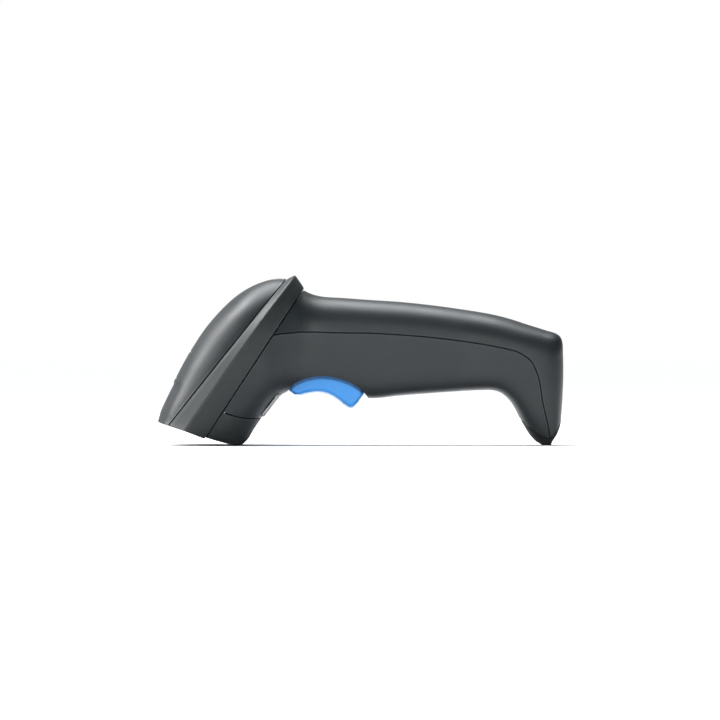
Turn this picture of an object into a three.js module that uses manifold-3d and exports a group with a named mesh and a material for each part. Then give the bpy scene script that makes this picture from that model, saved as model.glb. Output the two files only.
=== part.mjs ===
// Handheld contact barcode scanner, as an assembly of separate pieces: casing shells, bumper band, trigger
// with its pin, spring and microswitch, linear imaging engine, circuit boards, cable jack and screws.
// Millimetres. +Z is up and +X runs from the nose to the heel; y = 0 is the plane of symmetry. The scanner
// stands on its chin and its heel, so z = 0 is the table, and the origin is the middle of its footprint.
import * as THREE from "three";
import { mergeVertices } from "three/addons/utils/BufferGeometryUtils.js";
import Module from "manifold-3d";

const wasm = await Module();
wasm.setup();

// ---- Driving dimensions ------------------------------------------------------------------------------

const LENGTH = 170.6; // nose to the back of the handle
const HEIGHT = 71.6; // table to the crest of the bumper band
const HEAD_WIDTH = 72; // over the band's ridges, at the mouth
const HANDLE_WIDTH = 34;
const WALL = 2; // casing shells
const SEAM = 0.3; // open joint between two neighbouring pieces of the casing

const RIDGE_PROUD = 3.1; // how far the band's ridge stands out from the casing
const FRONT_PROUD = 0.15; // the band's edge along the hood
const REAR_PROUD = 0.9; // the band's edge along the body
const BAND_DEPTH = 1.3; // from the casing's surface to the band's inner face

const TRIGGER_EDGE = 1.2; // bevel round the trigger's two sides
const SLOT_CLEARANCE = 0.45; // between the trigger and the sides and ends of its slot
const PIN_RADIUS = 1.2;
const PIN_PLAY = 0.1; // round the pin, in the trigger and in its bosses
const PIN_BOSS_WALL = 1.3;

const BOARD_THICKNESS = 1.2;
const BOARD_MARGIN = 3.5; // from the main board's edges to the casing's walls
const PART_GAP = 0.3; // between an inner piece and whatever holds it
const SEAT_GAP = 0.05; // under a screw's head

const SCREW_RADIUS = 1.3;
const SCREW_HEAD_RADIUS = 2.4;
const SCREW_HEAD_HEIGHT = 1.6;
const BOSS_WALL = 1.3; // round a screw

const JACK_CAVITY = { x: 5.6, y: 10.6, z: 11 }; // room for the cable's plug
const JACK_WALL = 1.3;

const WINDOW_THICKNESS = 2;
const BEZEL_WALL = 2.6;

// The side view is drawn at this size and stretched to LENGTH and HEIGHT.
const DRAWN = { length: 170.6, height: 71.6 };

// ---- The casing's form -------------------------------------------------------------------------------

// Sections of the casing from nose to heel. Each joins a point of the upper outline to a point of the lower
// one. flare goes from handle width (0) to head width (1), slim narrows the hook, and widest is how far down
// the section it is widest, which in the handle is where the two shells part.
const SECTIONS = [
  // upper x, z,  lower x, z,  flare, slim, widest
  [-85.3, 10.1, -54.2, 0.4, 1, 1, 0.42],
  [-84.7, 12.2, -50.3, 0.0, 1, 1, 0.42],
  [-83.8, 15.1, -47.2, 2.3, 1, 1, 0.42],
  [-81.5, 20.0, -44.5, 6.7, 1, 1, 0.42],
  [-77.7, 27.5, -41.4, 11.3, 0.98, 1, 0.43],
  [-71.4, 39.1, -38.2, 16.0, 0.91, 1, 0.43],
  [-63.0, 51.4, -35.3, 19.3, 0.8, 1, 0.44],
  [-52.1, 62.4, -32.3, 21.6, 0.64, 1, 0.46],
  [-41.2, 68.4, -29.0, 22.7, 0.41, 1, 0.484],
  [-31.1, 69.7, -25.6, 23.1, 0.21, 1, 0.486],
  [-23.5, 64.9, -21.8, 23.1, 0.08, 1, 0.418],
  [-16.8, 62.5, -16.0, 22.8, 0.02, 1, 0.383],
  [-6.3, 61.7, -6.3, 21.4, 0, 1, 0.364],
  [4.6, 60.9, 4.6, 19.7, 0, 1, 0.34],
  [16.8, 60.1, 16.8, 20.8, 0, 1, 0.353],
  [29.4, 58.8, 29.4, 21.8, 0, 1, 0.368],
  [42.0, 57.1, 41.2, 22.6, 0, 1, 0.388],
  [53.8, 55.2, 50.4, 23.1, 0, 1, 0.408],
  [62.2, 53.2, 55.9, 23.0, 0, 1, 0.414],
  [69.7, 50.8, 59.6, 21.7, 0, 0.99, 0.402],
  [77.3, 48.4, 62.6, 19.1, 0, 0.97, 0.433],
  [82.7, 46.6, 64.5, 16.4, 0, 0.95, 0.506],
  [84.8, 43.7, 65.7, 14.1, 0, 0.93, 0.533],
  [85.2, 37.4, 67.0, 11.5, 0, 0.9, 0.534],
  [85.3, 29.4, 68.7, 8.5, 0, 0.86, 0.543],
  [85.0, 21.0, 70.6, 5.3, 0, 0.81, 0.518],
  [84.6, 13.9, 72.7, 2.7, 0, 0.76, 0.509],
  [84.1, 8.8, 75.0, 0.7, 0, 0.72, 0.536],
  [82.7, 4.8, 77.3, -0.3, 0, 0.69, 0.557],
  [80.6, 2.0, 79.6, -0.35, 0, 0.66, 0.56],
];
const HEEL = SECTIONS.length - 1;

// How square the upper and lower halves of a section are (2 is an ellipse), and how much the lower half draws
// in towards the bottom, in the head, the handle and the hook.
const HEAD_FORM = { upper: 2.35, lower: 3.6, draft: 0.26 };
const HANDLE_FORM = { upper: 2.35, lower: 5, draft: 0.2 };
const HOOK_FORM = { upper: 3.2, lower: 3.4, draft: 0.14 };
const NECK = [6, 11]; // sections over which head becomes handle
const BEND = [18, 23]; // sections over which handle becomes hook

const at = (x, z) =>
  new THREE.Vector2((x * LENGTH) / DRAWN.length, (z * HEIGHT) / DRAWN.height);

const upperLine = new THREE.SplineCurve(SECTIONS.map((c) => at(c[0], c[1])));
const lowerLine = new THREE.SplineCurve(SECTIONS.map((c) => at(c[2], c[3])));
const widthLine = new THREE.SplineCurve(SECTIONS.map((c) => new THREE.Vector2(c[4], c[5])));
const widestLine = new THREE.SplineCurve(SECTIONS.map((c, i) => new THREE.Vector2(i, c[6])));

function blend(s, [from, to], a, b) {
  const k = THREE.MathUtils.smoothstep(s, from, to);
  return a + (b - a) * k;
}

function formAt(s, key) {
  const front = blend(s, NECK, HEAD_FORM[key], HANDLE_FORM[key]);
  return blend(s, BEND, front, HOOK_FORM[key]);
}

// The section at s (its number in the list, whole or not), drawn in by inset all round.
function sectionAt(s, inset = 0) {
  const k = THREE.MathUtils.clamp(s / HEEL, 0, 1);
  const upper = upperLine.getPoint(k);
  const lower = lowerLine.getPoint(k);
  const across = lower.clone().sub(upper);
  const length = across.length();
  across.divideScalar(length);
  const slope = (line) => {
    const tangent = line.getTangent(k);
    return Math.max(Math.abs(tangent.x * across.y - tangent.y * across.x), 0.5);
  };
  const most = length * 0.4;
  const fall = Math.min(inset / slope(upperLine), most);
  const rise = Math.min(inset / slope(lowerLine), most);
  upper.addScaledVector(across, fall);
  lower.addScaledVector(across, -rise);
  const [flare, slim] = widthLine.getPoint(k).toArray();
  const handle = (HANDLE_WIDTH / 2) * slim;
  const head = HEAD_WIDTH / 2 - RIDGE_PROUD;
  const half = handle + (head - handle) * flare - inset;
  const left = length - fall - rise;
  const widest = (widestLine.getPoint(k).y * length - fall) / left;
  return { s, upper, lower, length: left, half, widest };
}

// Round a section, angle 0 is the top, +-PI/2 the widest line and PI the bottom; it is negative where y is.
function ringPoint(section, angle) {
  const above = Math.cos(angle) >= 0;
  const power = formAt(section.s, above ? "upper" : "lower");
  const up = Math.abs(Math.cos(angle)) ** (2 / power);
  const out = Math.abs(Math.sin(angle)) ** (2 / power);
  const draft = above ? 0 : formAt(section.s, "draft") * up;
  const down = above ? section.widest * (1 - up) : section.widest + (1 - section.widest) * up;
  const side = section.upper.clone().lerp(section.lower, down);
  const y = Math.sign(Math.sin(angle)) * section.half * out * (1 - draft);
  return new THREE.Vector3(side.x, y, side.y);
}

// The angle at which a section has come down by this share of its height.
function angleAt(section, down) {
  const above = down < section.widest;
  const up = above ? 1 - down / section.widest : (down - section.widest) / (1 - section.widest);
  const power = formAt(section.s, above ? "upper" : "lower");
  const cosine = Math.min(Math.max(up, 0), 1) ** (power / 2);
  return above ? Math.acos(cosine) : Math.PI - Math.acos(cosine);
}

// A straight line in the side view, and the same line moved sideways (positive is towards the handle).
function straight(x0, z0, x1, z1) {
  const from = at(x0, z0);
  return { from, along: at(x1, z1).sub(from).normalize() };
}
function moved(line, distance) {
  const aside = new THREE.Vector2(line.along.y, -line.along.x).multiplyScalar(distance);
  return { from: line.from.clone().add(aside), along: line.along };
}

// How far down a section a line crosses it, as a share of its height.
function crossing(section, line) {
  const across = section.lower.clone().sub(section.upper);
  const gap = line.from.clone().sub(section.upper);
  return gap.cross(line.along) / across.cross(line.along);
}

// Half the width of the room inside the casing at a point of the side view.
function insideHalf(point) {
  let low = 0;
  let high = HEEL;
  for (let i = 0; i < 40; i++) {
    const s = (low + high) / 2;
    const { upper, lower } = sectionAt(s, WALL);
    if (lower.clone().sub(upper).cross(point.clone().sub(upper)) > 0) low = s;
    else high = s;
  }
  const section = sectionAt(low, WALL);
  const down = section.upper.distanceTo(point) / section.length;
  return ringPoint(section, angleAt(section, down)).y;
}

// Where a line leaves the upper outline.
function lineEnd(line, inset = 0) {
  let low = 0;
  let high = 11;
  for (let i = 0; i < 40; i++) {
    const s = (low + high) / 2;
    if (crossing(sectionAt(s, inset), line) > 0) low = s;
    else high = s;
  }
  return low;
}

// Three straight lines run from the mouth to the crest: where the hood meets the band, the band's ridge, and
// where the band meets the body.
const HOOD_LINE = straight(-79.4, 8.6, -30.9, 69.5);
const RIDGE_LINE = straight(-72.2, 7.1, -27.1, 71.6);
const BODY_LINE = straight(-63.8, 3.8, -23.8, 65.1);

// ---- Solids ------------------------------------------------------------------------------------------

// A closed solid from a mesh; an inside-out one is turned.
function solid(geometry) {
  const flat = geometry.index ? geometry.toNonIndexed() : geometry;
  const bare = new THREE.BufferGeometry().setAttribute("position", flat.getAttribute("position"));
  const merged = mergeVertices(bare, 1e-4);
  const corners = Array.from(merged.index.array);
  const triangles = [];
  for (let i = 0; i < corners.length; i += 3) {
    const [a, b, c] = corners.slice(i, i + 3);
    if (a !== b && b !== c && c !== a) triangles.push([a, b, c]);
  }
  const make = (list) =>
    new wasm.Manifold(
      new wasm.Mesh({
        numProp: 3,
        vertProperties: merged.attributes.position.array,
        triVerts: Uint32Array.from(list.flat()),
      }),
    );
  const made = make(triangles);
  return made.volume() < 0 ? make(triangles.map(([a, b, c]) => [a, c, b])) : made;
}

function geometryOf(made) {
  const { numProp, vertProperties, triVerts } = made.getMesh();
  const points = new Float32Array(triVerts.length * 3);
  triVerts.forEach((v, i) => points.set(vertProperties.subarray(v * numProp, v * numProp + 3), i * 3));
  const geometry = new THREE.BufferGeometry().setAttribute("position", new THREE.BufferAttribute(points, 3));
  geometry.computeVertexNormals();
  return geometry;
}

// A closed solid between rows of points, each row a closed loop, with flat or strip-like ends.
function loft(rows, capTriangles) {
  const points = [];
  const quad = (a, b, c, d) => points.push(a, b, c, a, c, d);
  const n = rows[0].length;
  for (let i = 0; i + 1 < rows.length; i++)
    for (let j = 0; j < n; j++)
      quad(rows[i][j], rows[i][(j + 1) % n], rows[i + 1][(j + 1) % n], rows[i + 1][j]);
  const last = rows.length - 1;
  for (const [a, b, c] of capTriangles) {
    points.push(rows[0][a], rows[0][c], rows[0][b]);
    points.push(rows[last][a], rows[last][b], rows[last][c]);
  }
  return solid(new THREE.BufferGeometry().setFromPoints(points));
}
const fan = (n) => Array.from({ length: n - 2 }, (_, i) => [0, i + 1, i + 2]);

// A wall: each row has its outer points one way and its inner points back again.
function wall(rowsOut, rowsIn) {
  const n = rowsOut[0].length;
  const strip = [];
  for (let j = 0; j + 1 < n; j++) {
    const [a, b, c, d] = [j, j + 1, 2 * n - 2 - j, 2 * n - 1 - j];
    strip.push([a, b, c], [a, c, d]);
  }
  return loft(rowsOut.map((row, i) => [...row, ...rowsIn[i].slice().reverse()]), strip);
}

// The casing's whole outline as one solid, drawn in by inset, between two sections.
function hull(inset = 0, from = 0, to = HEEL, around = 32, perSection = 1.5) {
  const steps = Math.ceil((to - from) * perSection);
  const rows = [];
  for (let i = 0; i <= steps; i++) {
    rows.push(ringOf(sectionAt(from + ((to - from) * i) / steps, inset), around));
  }
  return loft(rows, fan(around));
}
const ringOf = (section, around) =>
  Array.from({ length: around }, (_, j) => ringPoint(section, (2 * Math.PI * j) / around - Math.PI));

// An outline in the side view, extruded across the scanner.
function slab(outline, width, y = 0) {
  const shape = outline instanceof THREE.Shape ? outline : new THREE.Shape(outline);
  const geometry = new THREE.ExtrudeGeometry(shape, { depth: width, bevelEnabled: false, curveSegments: 8 });
  geometry.rotateX(Math.PI / 2).translate(0, y + width / 2, 0);
  return solid(geometry);
}
function box(sx, sy, sz, x, y, z) {
  return solid(new THREE.BoxGeometry(sx, sy, sz).translate(x, y, z));
}
function cylinderZ(radius, low, high, x = 0, y = 0, sides = 16) {
  const geometry = new THREE.CylinderGeometry(radius, radius, high - low, sides).rotateX(Math.PI / 2);
  return solid(geometry.translate(x, y, (low + high) / 2));
}
function cylinderY(radius, low, high, x, z, sides = 16) {
  const geometry = new THREE.CylinderGeometry(radius, radius, high - low, sides);
  return solid(geometry.translate(x, (low + high) / 2, z));
}
// The main body of a solid, without the flakes that a cut at a seam can leave.
function largest(made) {
  return made.decompose().reduce((best, body) => (body.volume() > best.volume() ? body : best));
}
function placed(made, matrix) {
  return solid(geometryOf(made).applyMatrix4(matrix));
}

// ---- The part ----------------------------------------------------------------------------------------

const FINISH = {
  shell: { color: 0x3a3e41, roughness: 0.42, metalness: 0 },
  band: { color: 0x45494c, roughness: 0.62, metalness: 0 },
  rubber: { color: 0x17191a, roughness: 0.75, metalness: 0 },
  trigger: { color: 0x3d90e2, roughness: 0.32, metalness: 0 },
  label: { color: 0xc8cbcd, roughness: 0.35, metalness: 0.2 },
  badge: { color: 0x2c2f31, roughness: 0.3, metalness: 0 },
  window: { color: 0x5a0f12, roughness: 0.05, metalness: 0 },
  clear: { color: 0xdfe8ea, roughness: 0.08, metalness: 0 },
  steel: { color: 0xb9bcbf, roughness: 0.3, metalness: 1 },
  blackPlastic: { color: 0x1c1d1f, roughness: 0.5, metalness: 0 },
  board: { color: 0x14532d, roughness: 0.5, metalness: 0 },
  chip: { color: 0x1f2022, roughness: 0.45, metalness: 0 },
  ceramic: { color: 0xd8d4c8, roughness: 0.5, metalness: 0 },
  mirror: { color: 0xe6e9ea, roughness: 0.03, metalness: 1 },
  ribbon: { color: 0xe9e6da, roughness: 0.45, metalness: 0 },
  foam: { color: 0x2a2b2c, roughness: 0.95, metalness: 0 },
};

const scanner = new THREE.Group();
const materials = new Map();
function add(name, made, finish, parent = scanner) {
  if (!materials.has(finish)) materials.set(finish, new THREE.MeshStandardMaterial(FINISH[finish]));
  const mesh = new THREE.Mesh(geometryOf(made), materials.get(finish));
  mesh.name = name;
  parent.add(mesh);
}

// The head's own frame: x along the band's ridge from the mouth, y across, z out towards the hood.
const mouth = sectionAt(0);
const mouthMiddle = mouth.upper.clone().lerp(mouth.lower, 0.5);
const headTilt = RIDGE_LINE.along.angle();
const head = new THREE.Group();
head.position.set(mouthMiddle.x, 0, mouthMiddle.y);
head.rotation.y = -headTilt;
head.updateMatrix();
scanner.add(head);

// ---- Where the inner pieces sit ----------------------------------------------------------------------

const SLOT_FRONT = at(-29.7, 23.0);
const SLOT_REAR = at(1.6, 21.6);
const TRIGGER_WIDTH = 2 * (insideHalf(at(1.6, 24.4)) - SLOT_CLEARANCE);
const BOARD_WIDTH = HANDLE_WIDTH - 2 * (WALL + BOARD_MARGIN);

const BOARD_FRONT = at(-34, 0).x;
const BOARD_REAR = at(56, 0).x;
const BOARD_LOW = at(0, 39.5).y;
const BOARD_HIGH = BOARD_LOW + BOARD_THICKNESS;
const HANDLE_SCREWS = [
  { name: "handle_screw_front", x: at(14, 0).x },
  { name: "handle_screw_rear", x: at(44, 0).x },
];
const SCREW_SEAT = BOARD_LOW - 5; // underside of the handle screws' heads, inside their bosses
const SCREW_TIP = BOARD_HIGH + 9;
const BOSS_RADIUS = SCREW_RADIUS + BOSS_WALL;
const COUNTERBORE = SCREW_HEAD_RADIUS + PART_GAP;

const PIVOT = at(-27.3, 27.3);
const PIVOT_BOSS = PIN_RADIUS + PIN_BOSS_WALL;
const PIN_HALF = TRIGGER_WIDTH / 2 + 2.2;

// The status light: a lens in the crest, with a pipe down to its lamp on the main board.
const STATUS = {
  x: at(-34.2, 0).x,
  top: upperLine.getPoint(8.6 / HEEL).y,
  length: 3.6,
  width: 12,
  depth: 3.4,
  stem: 1.1,
  foot: BOARD_HIGH + 2,
};

// A point of the side view in the head's frame.
const toHead = head.matrix.clone().invert();
function inHead(x, z) {
  const p = new THREE.Vector3(x, 0, z).applyMatrix4(toHead);
  return new THREE.Vector2(p.x, p.z);
}

// How high the inside of the hood is in the head's frame, at a distance from the mouth.
function headroom(distance) {
  let low = 0;
  let high = 11;
  const inside = (s) => inHead(...sectionAt(s, WALL).upper.toArray());
  for (let i = 0; i < 40; i++) {
    const s = (low + high) / 2;
    if (inside(s).x < distance) low = s;
    else high = s;
  }
  return inside(low).y;
}

// The imaging engine, in the head's frame. It ends short of the status light's pipe, and its sensor board
// hangs under the hood by the height of its connector and the fall of the hood beside its crest.
const ENGINE_REAR = inHead(STATUS.x - STATUS.stem, STATUS.foot).x - 3.4;
const HOOD_FALL = 1.3;
const RIBBON_LEAD = 2.8; // how far the sensor's ribbon runs straight from its connector
const MIRROR = { x: ENGINE_REAR - 9, z: -5.5, size: 12, thickness: 1.5 };
const LED = { x: 13, z: 8, radius: 1.5, count: 6, pitch: 7.6 };
const SENSOR_CONNECTOR = { x: ENGINE_REAR + 0.5, length: 4, height: 2 };
const SENSOR_BOARD = {
  x: ENGINE_REAR - 9,
  low:
    headroom(SENSOR_CONNECTOR.x + SENSOR_CONNECTOR.length / 2 + RIBBON_LEAD) -
    (BOARD_THICKNESS + PART_GAP + SENSOR_CONNECTOR.height + HOOD_FALL),
  length: 24,
  width: 25,
};
const LINE_SENSOR = { length: 6, width: 21, height: 1.4 };
const LENS = {
  x: ENGINE_REAR - 11,
  radius: 4.6,
  low: 0.5,
  high: SENSOR_BOARD.low - PART_GAP - LINE_SENSOR.height - 1.9,
  glass: 1.65, // half the thickness of its glass
};
const LENS_MIDDLE = (LENS.low + LENS.high) / 2;
const ENGINE = {
  front: LED.x + BOARD_THICKNESS + PART_GAP,
  rear: ENGINE_REAR,
  low: -12,
  high: SENSOR_BOARD.low - PART_GAP,
  half: 13,
  wall: 1.5,
};
const SENSOR_RIBBON = { y: 6, width: 9 }; // beside the status light's pipe

// One screw each side goes up through an ear of the optical chassis into the hood's boss.
const EAR = { low: -4, high: -2.2, reach: 4 };
const HEAD_SCREW = { x: LENS.x - 9, y: 17, seat: EAR.low, tip: 8 };

const JACK = { x: at(77, 0).x, low: at(0, 10).y }; // middle and mouth of the cable jack
const JACK_SIZE = {
  x: JACK_CAVITY.x + 2 * JACK_WALL,
  y: JACK_CAVITY.y + 2 * JACK_WALL,
  z: JACK_CAVITY.z + JACK_WALL,
};

const SWITCH = {
  x: at(-18, 0).x,
  length: 12.8,
  width: 5.8,
  height: 6.2,
  plunger: 0.9,
  inside: 1,
  travel: 1.1,
};
const SWITCH_HIGH = BOARD_LOW - PART_GAP;
const SWITCH_LOW = SWITCH_HIGH - SWITCH.height;
const SPRING = { x: at(-5, 0).x, radius: 2.2, wire: 0.3, turns: 5 };
const BRACKET = { low: BOARD_LOW - 3.1, high: BOARD_LOW - 1.6, width: BOARD_WIDTH - 4 };

// ---- Trigger -----------------------------------------------------------------------------------------

// The finger pad, from its front tip along the hollow to the rear lobe, then back through the casing.
const PAD = new THREE.SplineCurve(
  [
    [-27.3, 21.2],
    [-24.6, 21.0],
    [-21.2, 21.7],
    [-18.0, 22.1],
    [-14.7, 21.7],
    [-11.6, 20.4],
    [-8.6, 18.4],
    [-6.2, 16.4],
    [-4.3, 15.5],
    [-2.5, 16.0],
    [-0.9, 17.9],
  ].map(([x, z]) => at(x, z)),
);
// The trigger's back, from its rear end and then by how far it stays below the switch.
const TRIGGER_TOP = new THREE.SplineCurve([
  at(1.0, 25.2),
  ...[
    [-4.2, 4.2],
    [-10.5, 2.3],
    [-17.0, 1.8],
    [-22.4, 2.6],
  ].map(([x, below]) => new THREE.Vector2(at(x, 0).x, SWITCH_LOW - below)),
]);
const triggerTopAt = (x) => {
  let best = TRIGGER_TOP.getPoint(0);
  for (const p of TRIGGER_TOP.getPoints(60)) if (Math.abs(p.x - x) < Math.abs(best.x - x)) best = p;
  return best.y;
};

function trigger() {
  const eye = PIN_RADIUS + 0.9;
  const outline = [
    SLOT_FRONT,
    ...PAD.getPoints(22),
    SLOT_REAR,
    at(1.6, 24.4),
    ...TRIGGER_TOP.getPoints(10),
    ...[0.25, 0.5, 0.75, 1].map((k) => {
      const a = (k * Math.PI * 5) / 6 + Math.PI / 4;
      return new THREE.Vector2(PIVOT.x + eye * Math.cos(a), PIVOT.y + eye * Math.sin(a));
    }),
  ];
  const shape = new THREE.Shape(outline);
  const geometry = new THREE.ExtrudeGeometry(shape, {
    depth: TRIGGER_WIDTH - 2 * TRIGGER_EDGE,
    bevelThickness: TRIGGER_EDGE,
    bevelSize: TRIGGER_EDGE * 0.55,
    bevelOffset: -TRIGGER_EDGE * 0.55,
    bevelSegments: 2,
  });
  geometry.rotateX(Math.PI / 2).translate(0, TRIGGER_WIDTH / 2 - TRIGGER_EDGE, 0);
  const floor = lowerLine.getPoint(13 / HEEL).y + WALL; // inside of the casing behind the slot
  const catchLip = box(5.2, TRIGGER_WIDTH * 0.66, 1.5, SLOT_REAR.x + 0.4, 0, floor + 1.1 + 0.75);
  const nubTop = SWITCH_LOW - 1.3;
  const nubLow = triggerTopAt(SWITCH.x) - 1;
  const nub = cylinderZ(1.2, nubLow, nubTop, SWITCH.x, 0, 12);
  const cupLow = triggerTopAt(SPRING.x) - 1.2;
  const cup = cylinderZ(SPRING.radius + SPRING.wire + PART_GAP, cupLow, cupLow + 9, SPRING.x, 0, 20);
  const bore = cylinderY(PIN_RADIUS + PIN_PLAY, -TRIGGER_WIDTH, TRIGGER_WIDTH, PIVOT.x, PIVOT.y);
  return solid(geometry).add(catchLip).add(nub).subtract(cup).subtract(bore);
}

// The slot in the body: an arch over the trigger, cut straight through both side walls.
function triggerSlot() {
  const arch = new THREE.SplineCurve(
    [
      [-27.3, 25.9],
      [-23.1, 27.8],
      [-16.8, 28.9],
      [-10.5, 28.4],
      [-4.2, 26.3],
      [-0.4, 24.0],
    ].map(([x, z]) => at(x, z)),
  );
  const front = SLOT_FRONT.clone().add(new THREE.Vector2(-SLOT_CLEARANCE, 0));
  const rear = SLOT_REAR.clone().add(new THREE.Vector2(SLOT_CLEARANCE, 0));
  const below = at(0, -20).y;
  const outline = [
    new THREE.Vector2(front.x - 3, below),
    new THREE.Vector2(rear.x + 2, below),
    new THREE.Vector2(rear.x + 2, rear.y - 2.4),
    rear,
    ...arch.getPoints(20).reverse(),
    front,
    new THREE.Vector2(front.x - 3, front.y - 3),
  ];
  const pocket = { high: PIVOT.y, width: TRIGGER_WIDTH + 2 * SLOT_CLEARANCE };
  const centre = { x: (front.x + rear.x) / 2, z: (pocket.high + below) / 2 };
  const room = box(rear.x - front.x, pocket.width, pocket.high - below, centre.x, 0, centre.z);
  return slab(outline, HEAD_WIDTH).add(room);
}

// ---- Casing shells -----------------------------------------------------------------------------------

// A grid of points of the skin drawn in by inset. For a row r = 0 .. 1 and a column c = -1 .. 1, place gives
// the number of a section and a function for the angle at which the column crosses that section.
function skin(rowCount, columnCount, inset, place) {
  const rows = [];
  for (let i = 0; i <= rowCount; i++) {
    const row = [];
    for (let j = 0; j <= columnCount; j++) {
      const [s, angleOf] = place(i / rowCount, (2 * j) / columnCount - 1, inset);
      const section = sectionAt(s, inset);
      row.push(ringPoint(section, angleOf(section)));
    }
    rows.push(row);
  }
  return rows;
}
const shell = (rows, columns, place) => wall(skin(rows, columns, 0, place), skin(rows, columns, WALL, place));

// The chin's joint with the body: level across the sides, swept back under the bottom.
const CHIN = { side: 3.44, back: 0.56, start: 0.6 };
function chinSection(c, side) {
  const angleOf = bodyAngle(c);
  let s = CHIN.side;
  for (let i = 0; i < 12; i++) {
    const section = sectionAt(s);
    const up = Math.abs(Math.cos(angleOf(section))) ** (2 / formAt(s, "lower"));
    const down = section.widest + (1 - section.widest) * up;
    s = CHIN.side + CHIN.back * Math.max((down - CHIN.start) / (1 - CHIN.start), 0) ** 3;
  }
  return s + (side * SEAM) / 2 / (sectionAt(4).upper.distanceTo(sectionAt(3).upper) * 0.8);
}

// Columns of the body run from one seam round the bottom to the other: c = 0 is the bottom.
function bodyAngle(c) {
  return (section) => {
    const gap = SEAM / 2 / section.length;
    const band = section.s < NECK[1] ? crossing(section, moved(BODY_LINE, SEAM / 2)) : 0;
    const seam = Math.max(section.widest + gap, band);
    return Math.sign(c || 1) * (Math.PI - Math.abs(c) * (Math.PI - angleAt(section, seam)));
  };
}

// The handle's upper shell starts where the band ends: the section at which column c meets that line.
function upperStart(c, inset) {
  const line = moved(BODY_LINE, SEAM / 2);
  let low = 6;
  let high = 12;
  for (let i = 0; i < 30; i++) {
    const s = (low + high) / 2;
    const section = sectionAt(s, inset);
    const p = ringPoint(section, upperAngle(c)(section));
    const aside = new THREE.Vector2(p.x, p.z).sub(line.from).cross(line.along);
    if (aside > 0) high = s;
    else low = s;
  }
  return high;
}
function upperAngle(c) {
  return (section) => c * angleAt(section, section.widest - SEAM / 2 / section.length);
}

function hoodShell() {
  const line = moved(HOOD_LINE, -SEAM / 2);
  return shell(18, 14, (r, c, inset) => [
    (lineEnd(line, inset) - 0.01) * Math.sin((r * Math.PI) / 2),
    (section) => c * angleAt(section, crossing(section, line)),
  ]);
}
function bodyShell() {
  return shell(46, 20, (r, c) => {
    const start = chinSection(c, 1);
    return [start + r * (HEEL - start), bodyAngle(c)];
  });
}
function chinShell() {
  return shell(7, 20, (r, c) => [r * chinSection(c, -1), bodyAngle(c)]);
}
function upperShell() {
  return shell(30, 14, (r, c, inset) => {
    const start = upperStart(c, inset);
    return [start + r * (HEEL - start), upperAngle(c)];
  });
}

// The bumper band: a strip with a ridge, from one side of the mouth over the crest to the other.
function bumperBand() {
  const steps = 18;
  const edge = (line, proud) => {
    const end = lineEnd(line);
    const half = Array.from({ length: steps + 1 }, (_, i) => {
      const s = end * Math.sin((i / steps) * (Math.PI / 2));
      const section = sectionAt(s);
      return ringPoint(section, angleAt(section, crossing(section, line)));
    });
    half[steps].y = 0;
    const path = [...half.map((p) => p.clone().setY(-p.y)), ...half.slice(0, -1).reverse()];
    const normal = new THREE.Vector3(line.along.y, 0, -line.along.x);
    return path.map((p, i) => {
      const before = path[Math.max(i - 1, 0)];
      const after = path[Math.min(i + 1, path.length - 1)];
      const out = after.clone().sub(before).cross(normal).normalize();
      return p.clone().addScaledVector(out, -proud);
    });
  };
  const front = moved(HOOD_LINE, SEAM / 2);
  const rear = moved(BODY_LINE, -SEAM / 2);
  const outer = [edge(front, FRONT_PROUD), edge(RIDGE_LINE, RIDGE_PROUD), edge(rear, REAR_PROUD)];
  const inner = [edge(front, -BAND_DEPTH), edge(RIDGE_LINE, -BAND_DEPTH), edge(rear, -BAND_DEPTH)];
  const rowsOf = (paths) => paths[0].map((_, i) => paths.map((path) => path[i]));
  return wall(rowsOf(outer), rowsOf(inner));
}

// ---- Heel boot ---------------------------------------------------------------------------------------

// Everything outside a V-shaped line in the side view, which is deepest where the two shells meet.
function heelRegion(gap) {
  const line = new THREE.SplineCurve(
    [
      [66.4, 11.9],
      [68.0, 10.4],
      [70.5, 7.6],
      [72.7, 5.9],
      [75.1, 4.2],
      [77.5, 3.3],
      [79.2, 2.8],
    ].map(([x, z]) => at(x, z)),
  );
  const rise = [
    [80.8, 4.1],
    [82.3, 6.5],
    [83.6, 9.2],
    [85.0, 12.4],
    [86.5, 12.9],
  ].map(([x, z]) => at(x, z));
  const points = [...line.getPoints(14), ...rise].map((p) => p.add(new THREE.Vector2(0, gap)));
  const low = at(0, -10).y;
  const below = [points[0], points.at(-1)].map((p) => new THREE.Vector2(p.x, low));
  return slab([...below, ...points.reverse()], HEAD_WIDTH);
}

const plugRoom = (grow = 0) =>
  box(JACK_CAVITY.x + 2 * grow, JACK_CAVITY.y + 2 * grow, 60, JACK.x, 0, JACK.low - 30 + JACK_CAVITY.z);

function heelBoot() {
  const collar = box(JACK_SIZE.x, JACK_SIZE.y, JACK.low, JACK.x, 0, JACK.low / 2 - PART_GAP);
  const inside = hull(WALL + PART_GAP, 20, HEEL, 32, 2);
  return hull(0, 20, HEEL, 40, 3)
    .intersect(heelRegion(-SEAM / 2))
    .add(collar.intersect(inside))
    .subtract(plugRoom())
    .trimByPlane([0, 0, 1], 0);
}

// ---- Bosses and ribs ---------------------------------------------------------------------------------

const casingCore = hull(WALL * 0.6); // trims what is added inside, so that nothing reaches the outer skin

const RIB = 1.4; // thickness of the ribs
const COUNTERBORE_WALL = 0.5; // round a screw's counterbore
const BOSS_CLEARANCE = 0.5; // from the trigger's sides to the pin's bosses
const LEDGE = { x: at(-8, 0).x, length: 20, overlap: 1.5 }; // carries the switch bracket's edges
const CROSS_RIB = at(32, 0).x;

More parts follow.
